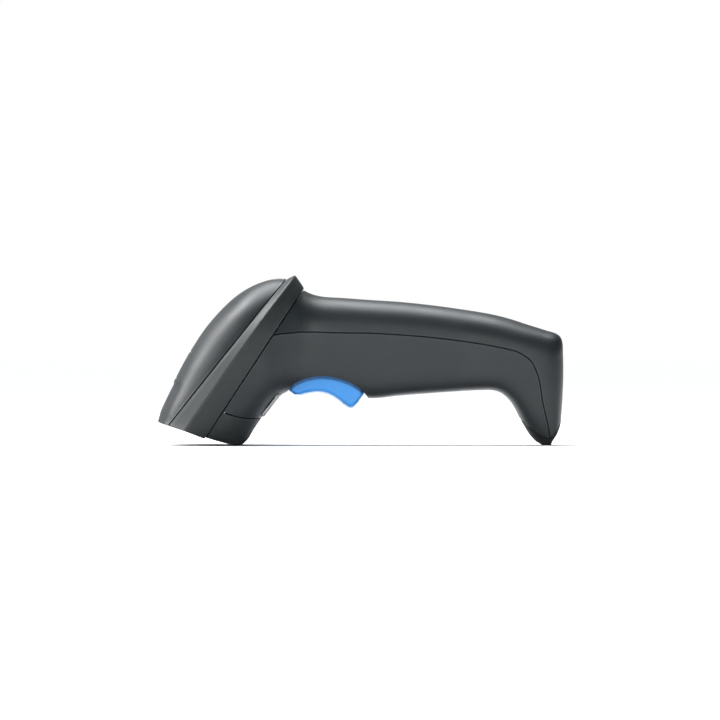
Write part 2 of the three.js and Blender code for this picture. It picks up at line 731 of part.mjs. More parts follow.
function bodyInside() {
  const made = [];
  const top = BOARD_LOW - PART_GAP;
  for (const { x } of HANDLE_SCREWS) made.push(cylinderZ(COUNTERBORE + COUNTERBORE_WALL, 0, top, x));
  for (const side of [-1, 1]) {
    const [near, far] = [TRIGGER_WIDTH / 2 + BOSS_CLEARANCE, HANDLE_WIDTH];
    made.push(cylinderY(PIVOT_BOSS, ...(side < 0 ? [-far, -near] : [near, far]), PIVOT.x, PIVOT.y));
    const ledge = BRACKET.width / 2 - LEDGE.overlap;
    const middle = (side * (ledge + HANDLE_WIDTH / 2)) / 2;
    const level = BRACKET.low - PART_GAP - RIB / 2;
    made.push(box(LEDGE.length, HANDLE_WIDTH / 2 - ledge, RIB, LEDGE.x, middle, level));
  }
  made.push(box(RIB, HANDLE_WIDTH, top, CROSS_RIB, 0, top / 2));
  return wasm.Manifold.union(made).intersect(casingCore);
}

function handleScrewHoles() {
  return HANDLE_SCREWS.map(({ x }) => {
    const shank = cylinderZ(SCREW_RADIUS + PART_GAP, 0, SCREW_TIP, x);
    return shank.add(cylinderZ(COUNTERBORE, -5, SCREW_SEAT, x));
  });
}

// The label lies on the flat of the neck, between the chin's joint and the trigger.
const LABEL = { thickness: 0.9, width: 24, sink: 0.35, from: at(-40.7, 12.3), to: at(-33.6, 21.5) };

function labelPlate(gap = 0) {
  const along = LABEL.to.clone().sub(LABEL.from);
  const aside = new THREE.Vector2(along.y, -along.x).normalize();
  const end = along.clone().normalize().multiplyScalar(gap);
  const outline = [
    LABEL.from.clone().sub(end).addScaledVector(aside, -LABEL.sink - gap),
    LABEL.to.clone().add(end).addScaledVector(aside, -LABEL.sink - gap),
    LABEL.to.clone().add(end).addScaledVector(aside, LABEL.thickness - LABEL.sink),
    LABEL.from.clone().sub(end).addScaledVector(aside, LABEL.thickness - LABEL.sink),
  ];
  return slab(outline, LABEL.width + 2 * gap);
}

function lowerBody() {
  const reach = PIN_HALF + PART_GAP;
  const bore = cylinderY(PIN_RADIUS + PIN_PLAY, -reach, reach, PIVOT.x, PIVOT.y);
  const cutters = [...handleScrewHoles(), triggerSlot(), heelRegion(SEAM / 2), labelPlate(PART_GAP), bore];
  const made = bodyShell().add(bodyInside());
  return largest(cutters.reduce((body, cutter) => body.subtract(cutter), made));
}

function upperBody() {
  const bosses = HANDLE_SCREWS.map(({ x }) => cylinderZ(BOSS_RADIUS, BOARD_HIGH + PART_GAP, HEIGHT + 20, x));
  const made = upperShell().add(wasm.Manifold.union(bosses).intersect(casingCore));
  const holes = HANDLE_SCREWS.map(({ x }) => cylinderZ(SCREW_RADIUS + SEAT_GAP, 0, SCREW_TIP + 1, x));
  return [...holes, heelRegion(SEAM / 2)].reduce((body, cutter) => body.subtract(cutter), made);
}

// ---- Hood, with its status light and badge -----------------------------------------------------------

function statusLens(gap = 0) {
  const above = 3;
  const height = STATUS.depth + 2 * above;
  const level = STATUS.top + above - STATUS.depth / 2;
  return box(STATUS.length + 2 * gap, STATUS.width + 2 * gap, height, STATUS.x, 0, level);
}

// The badge's place on the hood: sections, half its angle round them, and its thickness. gap widens it all
// round for its recess, with the gap's share of a section and of a turn there.
const BADGE = { from: 4.1, to: 5.0, angle: 0.3, depth: 0.7, section: 8, turn: 30 };

function badge(gap = 0) {
  const from = BADGE.from - gap / BADGE.section;
  const span = BADGE.to - BADGE.from + (2 * gap) / BADGE.section;
  const place = (r, c) => [from + r * span, () => c * (BADGE.angle + gap / BADGE.turn)];
  return wall(skin(6, 8, gap ? -1 : 0, place), skin(6, 8, BADGE.depth + gap, place));
}

function hood() {
  const beside = (radius, low, high) =>
    [-1, 1].map((side) =>
      placed(cylinderZ(radius, low, high, HEAD_SCREW.x, side * HEAD_SCREW.y), head.matrix),
    );
  const bosses = beside(BOSS_RADIUS, EAR.high + PART_GAP, HEIGHT);
  const holes = beside(SCREW_RADIUS + SEAT_GAP, -30, HEAD_SCREW.tip + 1);
  const made = hoodShell().add(wasm.Manifold.union(bosses).intersect(casingCore));
  const cutters = [...holes, statusLens(PART_GAP), badge(PART_GAP)];
  return cutters.reduce((body, cutter) => body.subtract(cutter), made);
}

// ---- Nose: bezel, gasket and window ------------------------------------------------------------------

const WINDOW_SECTION = 1.1;
const WINDOW_LEDGE = 1; // of the bezel, in front of the window

// A flat plate in the plane of one section, from one depth to another behind it.
function sectionPlate(s, inset, from, to, around = 28) {
  const section = sectionAt(s, inset);
  const across = section.lower.clone().sub(section.upper).normalize();
  const inward = new THREE.Vector3(-across.y, 0, across.x);
  const ring = ringOf(section, around);
  return loft([from, to].map((d) => ring.map((p) => p.clone().addScaledVector(inward, d))), fan(around));
}

function bezel() {
  const inset = WALL + PART_GAP;
  const ring = hull(inset, 0.12, 3, 28, 2).subtract(hull(inset + BEZEL_WALL, 0, 3.3, 28, 2));
  return ring.subtract(sectionPlate(WINDOW_SECTION, inset + WINDOW_LEDGE - PART_GAP, -PART_GAP, LENGTH / 4));
}

function windowPlate() {
  return sectionPlate(WINDOW_SECTION, WALL + PART_GAP + WINDOW_LEDGE + 0.1, 0, WINDOW_THICKNESS);
}

function gasket() {
  const width = 2;
  const [from, to] = [WINDOW_THICKNESS + 0.2, WINDOW_THICKNESS + 1.4];
  const inset = WALL + PART_GAP + WINDOW_LEDGE + PART_GAP;
  const hole = sectionPlate(WINDOW_SECTION, inset + width, from - 1, to + 1);
  return sectionPlate(WINDOW_SECTION, inset, from, to).subtract(hole);
}

// ---- Imaging engine, in the head's frame -------------------------------------------------------------

function chassis() {
  const { front, rear, low, high, half, wall: w } = ENGINE;
  const [length, height] = [rear - front, high - low];
  const middle = (front + rear) / 2;
  const parts = [box(length, 2 * half, w, middle, 0, low + w / 2)];
  for (const side of [-1, 1]) {
    parts.push(box(length, w, height, middle, side * (half - w / 2), (low + high) / 2));
  }
  const bridge = box(14, 2 * half, 3, LENS.x, 0, LENS_MIDDLE); // holds the lens barrel
  const endHeight = 10;
  parts.push(bridge, box(w, 2 * half, endHeight, rear - w / 2, 0, low + endHeight / 2));
  const span = 2 * (HEAD_SCREW.y + EAR.reach);
  const ears = box(2 * EAR.reach, span, EAR.high - EAR.low, HEAD_SCREW.x, 0, (EAR.low + EAR.high) / 2);
  parts.push(ears.subtract(box(2 * EAR.reach + 2, 2 * half - w, 9, HEAD_SCREW.x, 0, EAR.low)));
  const holes = [-1, 1].map((side) =>
    cylinderZ(SCREW_RADIUS + PART_GAP, -20, 20, HEAD_SCREW.x, side * HEAD_SCREW.y),
  );
  holes.push(cylinderZ(LENS.radius + PIN_PLAY, 0, 20, LENS.x, 0, 24));
  return holes.reduce((made, hole) => made.subtract(hole), wasm.Manifold.union(parts));
}

function lensBarrel() {
  const outline = [
    [3.2, LENS.low],
    [LENS.radius, LENS.low],
    [LENS.radius, LENS.high - 1],
    [LENS.radius + 0.9, LENS.high - 1],
    [LENS.radius + 0.9, LENS.high],
    [3.2, LENS.high],
  ].map(([r, z]) => new THREE.Vector2(r, z));
  outline.push(outline[0]);
  return solid(new THREE.LatheGeometry(outline, 24).rotateX(Math.PI / 2).translate(LENS.x, 0, 0));
}
function lensGlass() {
  const r = 3.1;
  const outline = [
    [0, -LENS.glass],
    [r / 2, -LENS.glass * 0.85],
    [r, -LENS.glass * 0.45],
    [r, LENS.glass * 0.45],
    [r / 2, LENS.glass * 0.85],
    [0, LENS.glass],
  ].map(([x, z]) => new THREE.Vector2(x, LENS_MIDDLE + z));
  return solid(new THREE.LatheGeometry(outline, 20).rotateX(Math.PI / 2).translate(LENS.x, 0, 0));
}
function foldMirror() {
  const half = ENGINE.half - ENGINE.wall - PART_GAP;
  const geometry = new THREE.BoxGeometry(MIRROR.size, 2 * half, MIRROR.thickness);
  return solid(geometry.rotateY(-Math.PI / 4).translate(MIRROR.x, 0, MIRROR.z));
}
function ledLamp(y) {
  const outline = [
    [0, 0],
    [LED.radius, 0],
    [LED.radius, 1.6],
    [LED.radius * 0.8, 2.5],
    [LED.radius * 0.4, 3],
    [0, 3.1],
  ].map(([r, z]) => new THREE.Vector2(r, z));
  // The profile turns about y; the lamp then points back out of the mouth, along -x.
  const geometry = new THREE.LatheGeometry(outline, 12).rotateZ(Math.PI / 2);
  return solid(geometry.translate(LED.x - PART_GAP, y, LED.z));
}

// ---- Ribbons and springs -----------------------------------------------------------------------------

// A flat flexible cable: a thin strip that follows points in the side view.
function ribbon(points, width, y = 0, thickness = 0.35, steps = 20) {
  const path = new THREE.SplineCurve(points);
  const sides = [-1, 1].map((side) =>
    Array.from({ length: steps + 1 }, (_, i) => {
      const tangent = path.getTangent(i / steps);
      const normal = new THREE.Vector2(-tangent.y, tangent.x);
      return path.getPoint(i / steps).addScaledVector(normal, (side * thickness) / 2);
    }),
  );
  return slab([...sides[0], ...sides[1].reverse()], width, y);
}

const ORIGIN = new THREE.Vector2();

class Helix extends THREE.Curve {
  constructor(radius, turns, low, high) {
    super();
    Object.assign(this, { radius, turns, low, high });
  }
  getPoint(t, target = new THREE.Vector3()) {
    const a = 2 * Math.PI * this.turns * t;
    const height = this.low + (this.high - this.low) * t;
    return target.set(this.radius * Math.cos(a), this.radius * Math.sin(a), height);
  }
}
function coilSpring(radius, wire, turns, low, high) {
  const section = new THREE.Shape(
    Array.from({ length: 6 }, (_, i) => new THREE.Vector2(wire, 0).rotateAround(ORIGIN, (i * Math.PI) / 3)),
  );
  const extrudePath = new Helix(radius, turns, low + wire * 1.2, high - wire * 1.2);
  return solid(new THREE.ExtrudeGeometry(section, { steps: turns * 12, extrudePath, bevelEnabled: false }));
}

// A pan-head screw along +z with its head's underside at z = 0.
function screw(length) {
  const outline = [
    [0, -SCREW_HEAD_HEIGHT],
    [SCREW_HEAD_RADIUS * 0.75, -SCREW_HEAD_HEIGHT],
    [SCREW_HEAD_RADIUS, -SCREW_HEAD_HEIGHT * 0.6],
    [SCREW_HEAD_RADIUS, 0],
    [SCREW_RADIUS, 0],
    [SCREW_RADIUS, length - 1.5],
    [0.3, length],
    [0, length],
  ].map(([r, z]) => new THREE.Vector2(r, z));
  const recess = [0, Math.PI / 2].map((turn) =>
    solid(new THREE.BoxGeometry(2.6, 0.6, 1.6).rotateZ(turn).translate(0, 0, -SCREW_HEAD_HEIGHT)),
  );
  const blank = solid(new THREE.LatheGeometry(outline, 12).rotateX(Math.PI / 2));
  return recess.reduce((made, slot) => made.subtract(slot), blank);
}

// ---- Assembly ----------------------------------------------------------------------------------------

function addCasing() {
  add("hood_shell", hood(), "shell");
  add("bumper_band", bumperBand(), "band");
  add("lower_body", lowerBody(), "shell");
  add("upper_handle", upperBody(), "shell");
  add("chin_guard", chinShell(), "band");
  add("heel_boot", heelBoot(), "rubber");
  add("neck_label", labelPlate(), "label");
  add("hood_badge", badge(), "badge");
  const lens = statusLens().intersect(hull(0, 7, 10, 48, 4));
  const stem = cylinderZ(STATUS.stem, STATUS.foot, STATUS.top - 1, STATUS.x, 0, 12);
  add("status_light_pipe", lens.add(stem), "clear");
}

function addNose() {
  add("window_bezel", bezel(), "blackPlastic");
  add("exit_window", windowPlate(), "window");
  add("window_gasket", gasket(), "foam");
}

function addEngine() {
  add("optical_chassis", chassis(), "blackPlastic", head);
  add("fold_mirror", foldMirror(), "mirror", head);
  add("lens_barrel", lensBarrel(), "blackPlastic", head);
  add("lens_glass", lensGlass(), "clear", head);
  const { x, low, length, width } = SENSOR_BOARD;
  add("sensor_board", box(length, width, BOARD_THICKNESS, x, 0, low + BOARD_THICKNESS / 2), "board", head);
  const sensor = LINE_SENSOR;
  const under = low - PART_GAP - sensor.height / 2;
  add("line_sensor", box(sensor.length, sensor.width, sensor.height, LENS.x, 0, under), "ceramic", head);
  const socket = SENSOR_CONNECTOR;
  const lift = low + BOARD_THICKNESS + PART_GAP + socket.height / 2;
  const housing = box(socket.length, SENSOR_RIBBON.width + 2, socket.height, socket.x, SENSOR_RIBBON.y, lift);
  add("sensor_connector", housing, "blackPlastic", head);
  const span = (LED.count - 1) * LED.pitch;
  add("lamp_board", box(BOARD_THICKNESS, span + 8, 7, LED.x + BOARD_THICKNESS / 2, 0, LED.z), "board", head);
  for (let i = 0; i < LED.count; i++) {
    add("lamp_" + (i + 1), ledLamp(i * LED.pitch - span / 2), "clear", head);
  }
}

function addTrigger() {
  add("trigger", trigger(), "trigger");
  add("trigger_pin", cylinderY(PIN_RADIUS, -PIN_HALF, PIN_HALF, PIVOT.x, PIVOT.y), "steel");
  const springLow = triggerTopAt(SPRING.x) - 1.2 + 0.1;
  const spring = coilSpring(SPRING.radius, SPRING.wire, SPRING.turns, springLow, BRACKET.low - 0.1);
  add("trigger_spring", placed(spring, new THREE.Matrix4().makeTranslation(SPRING.x, 0, 0)), "steel");
  const length = at(0, 0).x - at(-25.6, 0).x;
  const { low, high } = BRACKET;
  const plate = box(length, BRACKET.width, high - low, 0.4 - length / 2, 0, (low + high) / 2);
  const peg = cylinderZ(SPRING.radius - SPRING.wire - PART_GAP, low - 1.4, low + 0.5, SPRING.x, 0, 12);
  const window = box(SWITCH.length + 2 * PART_GAP, SWITCH.width + 2 * PART_GAP, 20, SWITCH.x, 0, low);
  add("switch_bracket", plate.add(peg).subtract(window), "blackPlastic");
  const body = box(SWITCH.length, SWITCH.width, SWITCH.height, SWITCH.x, 0, (SWITCH_LOW + SWITCH_HIGH) / 2);
  const wellTop = SWITCH_LOW + SWITCH.inside + SWITCH.travel + PART_GAP;
  const well = cylinderZ(SWITCH.plunger + PIN_PLAY, SWITCH_LOW - 1, wellTop, SWITCH.x, 0, 12);
  add("trigger_switch", body.subtract(well), "blackPlastic");
  const rest = SWITCH_LOW - SWITCH.travel;
  const plunger = cylinderZ(SWITCH.plunger, rest, SWITCH_LOW + SWITCH.inside, SWITCH.x, 0, 12);
  add("switch_plunger", plunger, "ceramic");
}

function addBoards() {
  const middle = (BOARD_FRONT + BOARD_REAR) / 2;
  const holes = HANDLE_SCREWS.map(({ x }) => cylinderZ(SCREW_RADIUS + PART_GAP, 0, 90, x));
  const level = (BOARD_LOW + BOARD_HIGH) / 2;
  const plain = box(BOARD_REAR - BOARD_FRONT, BOARD_WIDTH, BOARD_THICKNESS, middle, 0, level);
  add("main_board", holes.reduce((made, hole) => made.subtract(hole), plain), "board");
  const top = BOARD_HIGH + PART_GAP;
  const chip = (name, length, width, height, x, y, finish) =>
    add(name, box(length, width, height, at(x, 0).x, y, top + height / 2), finish);
  chip("status_led", 1.6, 3, 0.8, -34.2 + 1.2, 0, "ceramic");
  chip("board_connector", 4, SENSOR_RIBBON.width + 1, 2.2, -25, SENSOR_RIBBON.y - 1, "blackPlastic");
  chip("processor", 13, 13, 1.4, -4, 0, "chip");
  chip("memory_chip", 6, 8, 1, 24, 5.5, "chip");
  chip("cable_connector", 4.5, 10, 3.6, 52, 0, "blackPlastic");
  add("beeper", cylinderZ(5.5, top, top + 5, at(32, 0).x, -4.5, 20), "blackPlastic");
}

function addWiring() {
  const { x, length } = SENSOR_CONNECTOR;
  const level = SENSOR_BOARD.low + BOARD_THICKNESS + PART_GAP + 1;
  const start = new THREE.Vector3(x + length / 2 + PART_GAP, 0, level).applyMatrix4(head.matrix);
  const end = new THREE.Vector2(at(-25, 0).x - 2.4, BOARD_HIGH + PART_GAP + 1);
  const first = new THREE.Vector2(start.x, start.z);
  const away = new THREE.Vector2(Math.cos(headTilt), Math.sin(headTilt));
  const bend = first.clone().addScaledVector(away, RIBBON_LEAD - PART_GAP);
  const crest = bend.clone().lerp(end, 0.4).add(at(1.5, 3.6));
  const drop = bend.clone().lerp(end, 0.8).add(at(0.4, 3.4));
  const points = [first, bend, crest, drop, end.clone().add(at(-2.5, 1.2)), end];
  add("sensor_ribbon", ribbon(points, SENSOR_RIBBON.width, SENSOR_RIBBON.y), "ribbon");
}

function addJack() {
  const { x, y, z } = JACK_SIZE;
  const body = box(x, y, z, JACK.x, 0, JACK.low + z / 2).subtract(
    box(JACK_CAVITY.x, JACK_CAVITY.y, 2 * JACK_CAVITY.z, JACK.x, 0, JACK.low),
  );
  add("cable_jack", body, "blackPlastic");
  const top = JACK.low + z + PART_GAP;
  const end = new THREE.Vector2(JACK.x, top);
  const start = new THREE.Vector2(at(52, 0).x + 2.6, BOARD_HIGH + PART_GAP + 1.8);
  const points = [
    start,
    new THREE.Vector2(BOARD_REAR + 4, BOARD_HIGH + 1),
    new THREE.Vector2(BOARD_REAR + 12, BOARD_HIGH - 3.5),
    new THREE.Vector2(JACK.x - 2.5, top + 7),
    end,
  ];
  add("jack_ribbon", ribbon(points, 8), "ribbon");
}

function addScrews() {
  const length = SCREW_TIP - SCREW_SEAT;
  for (const { name, x } of HANDLE_SCREWS) {
    const seat = new THREE.Matrix4().makeTranslation(x, 0, SCREW_SEAT - SEAT_GAP);
    add(name, placed(screw(length), seat), "steel");
  }
  const headLength = HEAD_SCREW.tip - HEAD_SCREW.seat;
  for (const [name, side] of [["head_screw_left", -1], ["head_screw_right", 1]]) {
    const seat = new THREE.Matrix4();
    seat.makeTranslation(HEAD_SCREW.x, side * HEAD_SCREW.y, HEAD_SCREW.seat - SEAT_GAP);
    add(name, placed(screw(headLength), seat), "steel", head);
  }
}

addCasing();
addNose();
addEngine();
addTrigger();
addBoards();
addWiring();
addJack();
addScrews();

export default scanner;
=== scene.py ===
"""A handheld barcode scanner: a hooded reading head with a bumper band, a slim handle with a trigger, a
hooked heel with the socket for its cable, and everything inside. Sizes are millimetres unless they are
multiplied by MM, or a comment says otherwise."""

import math

import bmesh
import bpy
import numpy as np
from bpy.props import FloatProperty, FloatVectorProperty, IntProperty, PointerProperty
from mathutils import Matrix, Vector
from mathutils.bvhtree import BVHTree
from mathutils.kdtree import KDTree


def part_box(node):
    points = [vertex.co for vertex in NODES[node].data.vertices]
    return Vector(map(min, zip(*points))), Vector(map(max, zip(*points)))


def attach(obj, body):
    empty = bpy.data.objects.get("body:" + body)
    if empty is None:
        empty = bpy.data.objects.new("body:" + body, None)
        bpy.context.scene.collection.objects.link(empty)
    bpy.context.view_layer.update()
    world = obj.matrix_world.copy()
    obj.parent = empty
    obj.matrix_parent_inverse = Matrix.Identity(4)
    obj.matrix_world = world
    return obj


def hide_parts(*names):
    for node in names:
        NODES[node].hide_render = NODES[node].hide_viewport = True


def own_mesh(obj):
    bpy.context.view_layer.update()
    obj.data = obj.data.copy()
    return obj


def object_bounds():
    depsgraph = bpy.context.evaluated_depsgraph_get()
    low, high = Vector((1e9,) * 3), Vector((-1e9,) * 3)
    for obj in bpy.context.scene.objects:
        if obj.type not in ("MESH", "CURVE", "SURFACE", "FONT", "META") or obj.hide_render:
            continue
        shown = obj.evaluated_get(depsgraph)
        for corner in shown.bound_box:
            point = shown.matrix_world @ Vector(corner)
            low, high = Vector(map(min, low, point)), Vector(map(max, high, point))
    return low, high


bl_info = {
    "name": "Handheld Scanner",
    "version": (1, 0, 0),
    "blender": (4, 5, 0),
    "location": "3D View > Sidebar > Scanner",
    "description": "Builds a handheld contact barcode scanner around its packed frame",
    "category": "Add Mesh",
}

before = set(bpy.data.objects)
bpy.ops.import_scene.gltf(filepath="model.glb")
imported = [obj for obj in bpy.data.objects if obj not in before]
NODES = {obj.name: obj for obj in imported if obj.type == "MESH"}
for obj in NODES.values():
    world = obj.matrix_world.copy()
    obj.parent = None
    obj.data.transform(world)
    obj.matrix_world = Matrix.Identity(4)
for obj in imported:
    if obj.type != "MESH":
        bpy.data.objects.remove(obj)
CAD_BOX = [[float(v) for v in corner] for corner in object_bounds()]
MM = 0.001

# ---- The casing's form, in millimetres -----------------------------------------------------------

LENGTH, WIDTH, HEIGHT = ((CAD_BOX[1][i] - CAD_BOX[0][i]) / MM for i in range(3))
WALL = 2.0
SEAM = 0.3
GAP = 0.3
HANDLE_WIDTH = 34.0

# How far the band's ridge and its two edges stand proud of the casing, and how deep its back lies in it.
RIDGE_PROUD = 3.1
FRONT_PROUD = 0.15
REAR_PROUD = 0.9
BAND_DEPTH = 1.3
HEAD_HALF = 36.0 - RIDGE_PROUD

# Sections from the nose to the heel: a point (x, z) of the upper outline, a point of the lower one, how far
# the width is the head's, how slim the hook is, and how far down the section is widest.
SECTIONS = np.array([
    (-85.3, 10.1, -54.2, 0.4, 1, 1, 0.42),
    (-84.7, 12.2, -50.3, 0.0, 1, 1, 0.42),
    (-83.8, 15.1, -47.2, 2.3, 1, 1, 0.42),
    (-81.5, 20.0, -44.5, 6.7, 1, 1, 0.42),
    (-77.7, 27.5, -41.4, 11.3, 0.98, 1, 0.43),
    (-71.4, 39.1, -38.2, 16.0, 0.91, 1, 0.43),
    (-63.0, 51.4, -35.3, 19.3, 0.8, 1, 0.44),
    (-52.1, 62.4, -32.3, 21.6, 0.64, 1, 0.46),
    (-41.2, 68.4, -29.0, 22.7, 0.41, 1, 0.484),
    (-31.1, 69.7, -25.6, 23.1, 0.21, 1, 0.486),
    (-23.5, 64.9, -21.8, 23.1, 0.08, 1, 0.418),
    (-16.8, 62.5, -16.0, 22.8, 0.02, 1, 0.383),
    (-6.3, 61.7, -6.3, 21.4, 0, 1, 0.364),
    (4.6, 60.9, 4.6, 19.7, 0, 1, 0.34),
    (16.8, 60.1, 16.8, 20.8, 0, 1, 0.353),
    (29.4, 58.8, 29.4, 21.8, 0, 1, 0.368),
    (42.0, 57.1, 41.2, 22.6, 0, 1, 0.388),
    (53.8, 55.2, 50.4, 23.1, 0, 1, 0.408),
    (62.2, 53.2, 55.9, 23.0, 0, 1, 0.414),
    (69.7, 50.8, 59.6, 21.7, 0, 0.99, 0.402),
    (77.3, 48.4, 62.6, 19.1, 0, 0.97, 0.433),
    (82.7, 46.6, 64.5, 16.4, 0, 0.95, 0.506),
    (84.8, 43.7, 65.7, 14.1, 0, 0.93, 0.533),
    (85.2, 37.4, 67.0, 11.5, 0, 0.9, 0.534),
    (85.3, 29.4, 68.7, 8.5, 0, 0.86, 0.543),
    (85.0, 21.0, 70.6, 5.3, 0, 0.81, 0.518),
    (84.6, 13.9, 72.7, 2.7, 0, 0.76, 0.509),
    (84.1, 8.8, 75.0, 0.7, 0, 0.72, 0.536),
    (82.7, 4.8, 77.3, -0.3, 0, 0.69, 0.557),
    (80.6, 2.0, 79.6, -0.35, 0, 0.66, 0.56),
])
HEEL = len(SECTIONS) - 1

# The powers of each part's upper and lower curves, and how much narrower its bottom is than its widest line.
HEAD_FORM = {"upper": 2.35, "lower": 3.6, "draft": 0.26}
HANDLE_FORM = {"upper": 2.35, "lower": 5.0, "draft": 0.2}
HOOK_FORM = {"upper": 3.2, "lower": 3.4, "draft": 0.14}

# The sections between which the head's form turns into the handle's, and the handle's into the hook's.
NECK = (6, 11)
BEND = (18, 23)


def spline(points, t):
    """A smooth curve through the points, at t = 0 .. 1 in equal steps from point to point."""
    points = np.asarray(points, float)
    last = len(points) - 1
    p = np.clip(np.asarray(t, float), 0, 1) * last
    i = np.minimum(np.floor(p).astype(int), last - 1)
    w = (p - i)[..., None]
    a, b, c, d = (points[np.clip(i + k, 0, last)] for k in (-1, 0, 1, 2))
    v0, v1 = (c - a) / 2, (d - b) / 2
    return (2 * b - 2 * c + v0 + v1) * w**3 + (-3 * b + 3 * c - 2 * v0 - v1) * w**2 + v0 * w + b


def cross2(a, b):
    return a[..., 0] * b[..., 1] - a[..., 1] * b[..., 0]


def unit(v):
    return v / np.maximum(np.linalg.norm(v, axis=-1, keepdims=True), 1e-12)


def blend(s, span, a, b):
    k = np.clip((s - span[0]) / (span[1] - span[0]), 0, 1)
    return a + (b - a) * k * k * (3 - 2 * k)


def form_at(s, key):
    front = blend(s, NECK, HEAD_FORM[key], HANDLE_FORM[key])
    return blend(s, BEND, front, HOOK_FORM[key])


class Section:
    """Sections of the casing at the numbers s, drawn in by inset all round."""

    most_inset = 0.4
    least_slope = 0.5
    step = 1e-4

    def __init__(self, s, inset=0.0):
        self.s = s = np.asarray(s, float)
        k = np.clip(s / HEEL, 0, 1)
        upper, lower = spline(SECTIONS[:, 0:2], k), spline(SECTIONS[:, 2:4], k)
        length = np.linalg.norm(lower - upper, axis=-1)
        across = (lower - upper) / length[..., None]
        most = length * self.most_inset
        fall = np.minimum(inset / self.slope(SECTIONS[:, 0:2], k, across), most)
        rise = np.minimum(inset / self.slope(SECTIONS[:, 2:4], k, across), most)
        flare, slim = np.moveaxis(spline(SECTIONS[:, 4:6], k), -1, 0)
        handle = HANDLE_WIDTH / 2 * slim
        self.half = handle + (HEAD_HALF - handle) * flare - inset
        self.upper = upper + across * fall[..., None]
        self.lower = lower - across * rise[..., None]
        self.length = length - fall - rise
        self.widest = (spline(SECTIONS[:, 6:7], k)[..., 0] * length - fall) / self.length

    def slope(self, line, k, across):
        """How squarely a section crosses an outline, which an inset has to be divided by."""
        ahead, behind = np.minimum(k + self.step, 1), np.maximum(k - self.step, 0)
        tangent = unit(spline(line, ahead) - spline(line, behind))
        return np.maximum(np.abs(cross2(tangent, across)), self.least_slope)

    def power(self, above):
        return np.where(above, form_at(self.s, "upper"), form_at(self.s, "lower"))

    def down(self, angle):
        """How far down the section an angle is: 0 is the top, pi/2 the widest line and pi the bottom."""
        above = np.cos(angle) >= 0
        up = np.abs(np.cos(angle)) ** (2 / self.power(above))
        return np.where(above, self.widest * (1 - up), self.widest + (1 - self.widest) * up)

    def point(self, angle):
        above = np.cos(angle) >= 0
        power = self.power(above)
        up = np.abs(np.cos(angle)) ** (2 / power)
        out = np.abs(np.sin(angle)) ** (2 / power)
        draft = np.where(above, 0, form_at(self.s, "draft") * up)
        side = self.upper + (self.lower - self.upper) * self.down(angle)[..., None]
        y = np.sign(np.sin(angle)) * self.half * out * (1 - draft)
        return np.stack([side[..., 0], y, side[..., 1]], -1)

    def angle(self, down):
        """The angle at which the section has come down by this share of its height."""
        above = down < self.widest
        up = np.where(above, 1 - down / self.widest, (down - self.widest) / (1 - self.widest))
        cosine = np.clip(up, 0, 1) ** (self.power(above) / 2)
        return np.where(above, np.arccos(cosine), np.pi - np.arccos(cosine))

    def crossing(self, line):
        """How far down the section a straight line of the side view crosses it."""
        start, along = line
        across = self.lower - self.upper
        return cross2(start - self.upper, along) / cross2(across, along)


def straight(x0, z0, x1, z1):
    """A straight line of the side view, as a point and a direction."""
    return np.array((x0, z0)), unit(np.array((x1 - x0, z1 - z0)))


def moved(line, distance):
    """A line moved towards the heel."""
    start, along = line
    return start + np.array((along[1], -along[0])) * distance, along


def line_end(line, inset=0.0):
    """The last section that a line crosses, found by halving."""
    low, high = 0.0, float(NECK[1])
    for _ in range(40):
        s = (low + high) / 2
        if Section(s, inset).crossing(line) > 0:
            low = s
        else:
            high = s
    return low


HOOD_LINE = straight(-79.4, 8.6, -30.9, 69.5)
RIDGE_LINE = straight(-72.2, 7.1, -27.1, 71.6)
BODY_LINE = straight(-63.8, 3.8, -23.8, 65.1)


# ---- Meshes --------------------------------------------------------------------------------------


def mesh_object(name, points, faces):
    """An object from points in millimetres, with its faces turned outwards."""
    mesh = bpy.data.meshes.new(name)
    mesh.from_pydata((np.asarray(points, float).reshape(-1, 3) * MM).tolist(), [], faces)
    bm = bmesh.new()
    bm.from_mesh(mesh)
    if bm.calc_volume(signed=True) < 0:
        bmesh.ops.reverse_faces(bm, faces=bm.faces)
    bm.to_mesh(mesh)
    bm.free()
    obj = bpy.data.objects.new(name, mesh)
    bpy.context.scene.collection.objects.link(obj)
    return obj


def grid_faces(rows, columns, start=0, flip=False):
    i, j = np.meshgrid(np.arange(rows - 1), np.arange(columns - 1), indexing="ij")
    a = start + (i * columns + j).ravel()
    quads = np.stack([a, a + 1, a + columns + 1, a + columns], 1)
    return (quads[:, ::-1] if flip else quads).tolist()


def rim_loop(rows, columns):
    """Indices round the edge of a grid."""
    top = np.arange(columns)
    right = np.arange(1, rows) * columns + columns - 1
    bottom = (rows - 1) * columns + np.arange(columns - 2, -1, -1)
    left = np.arange(rows - 2, 0, -1) * columns
    return np.concatenate([top, right, bottom, left])


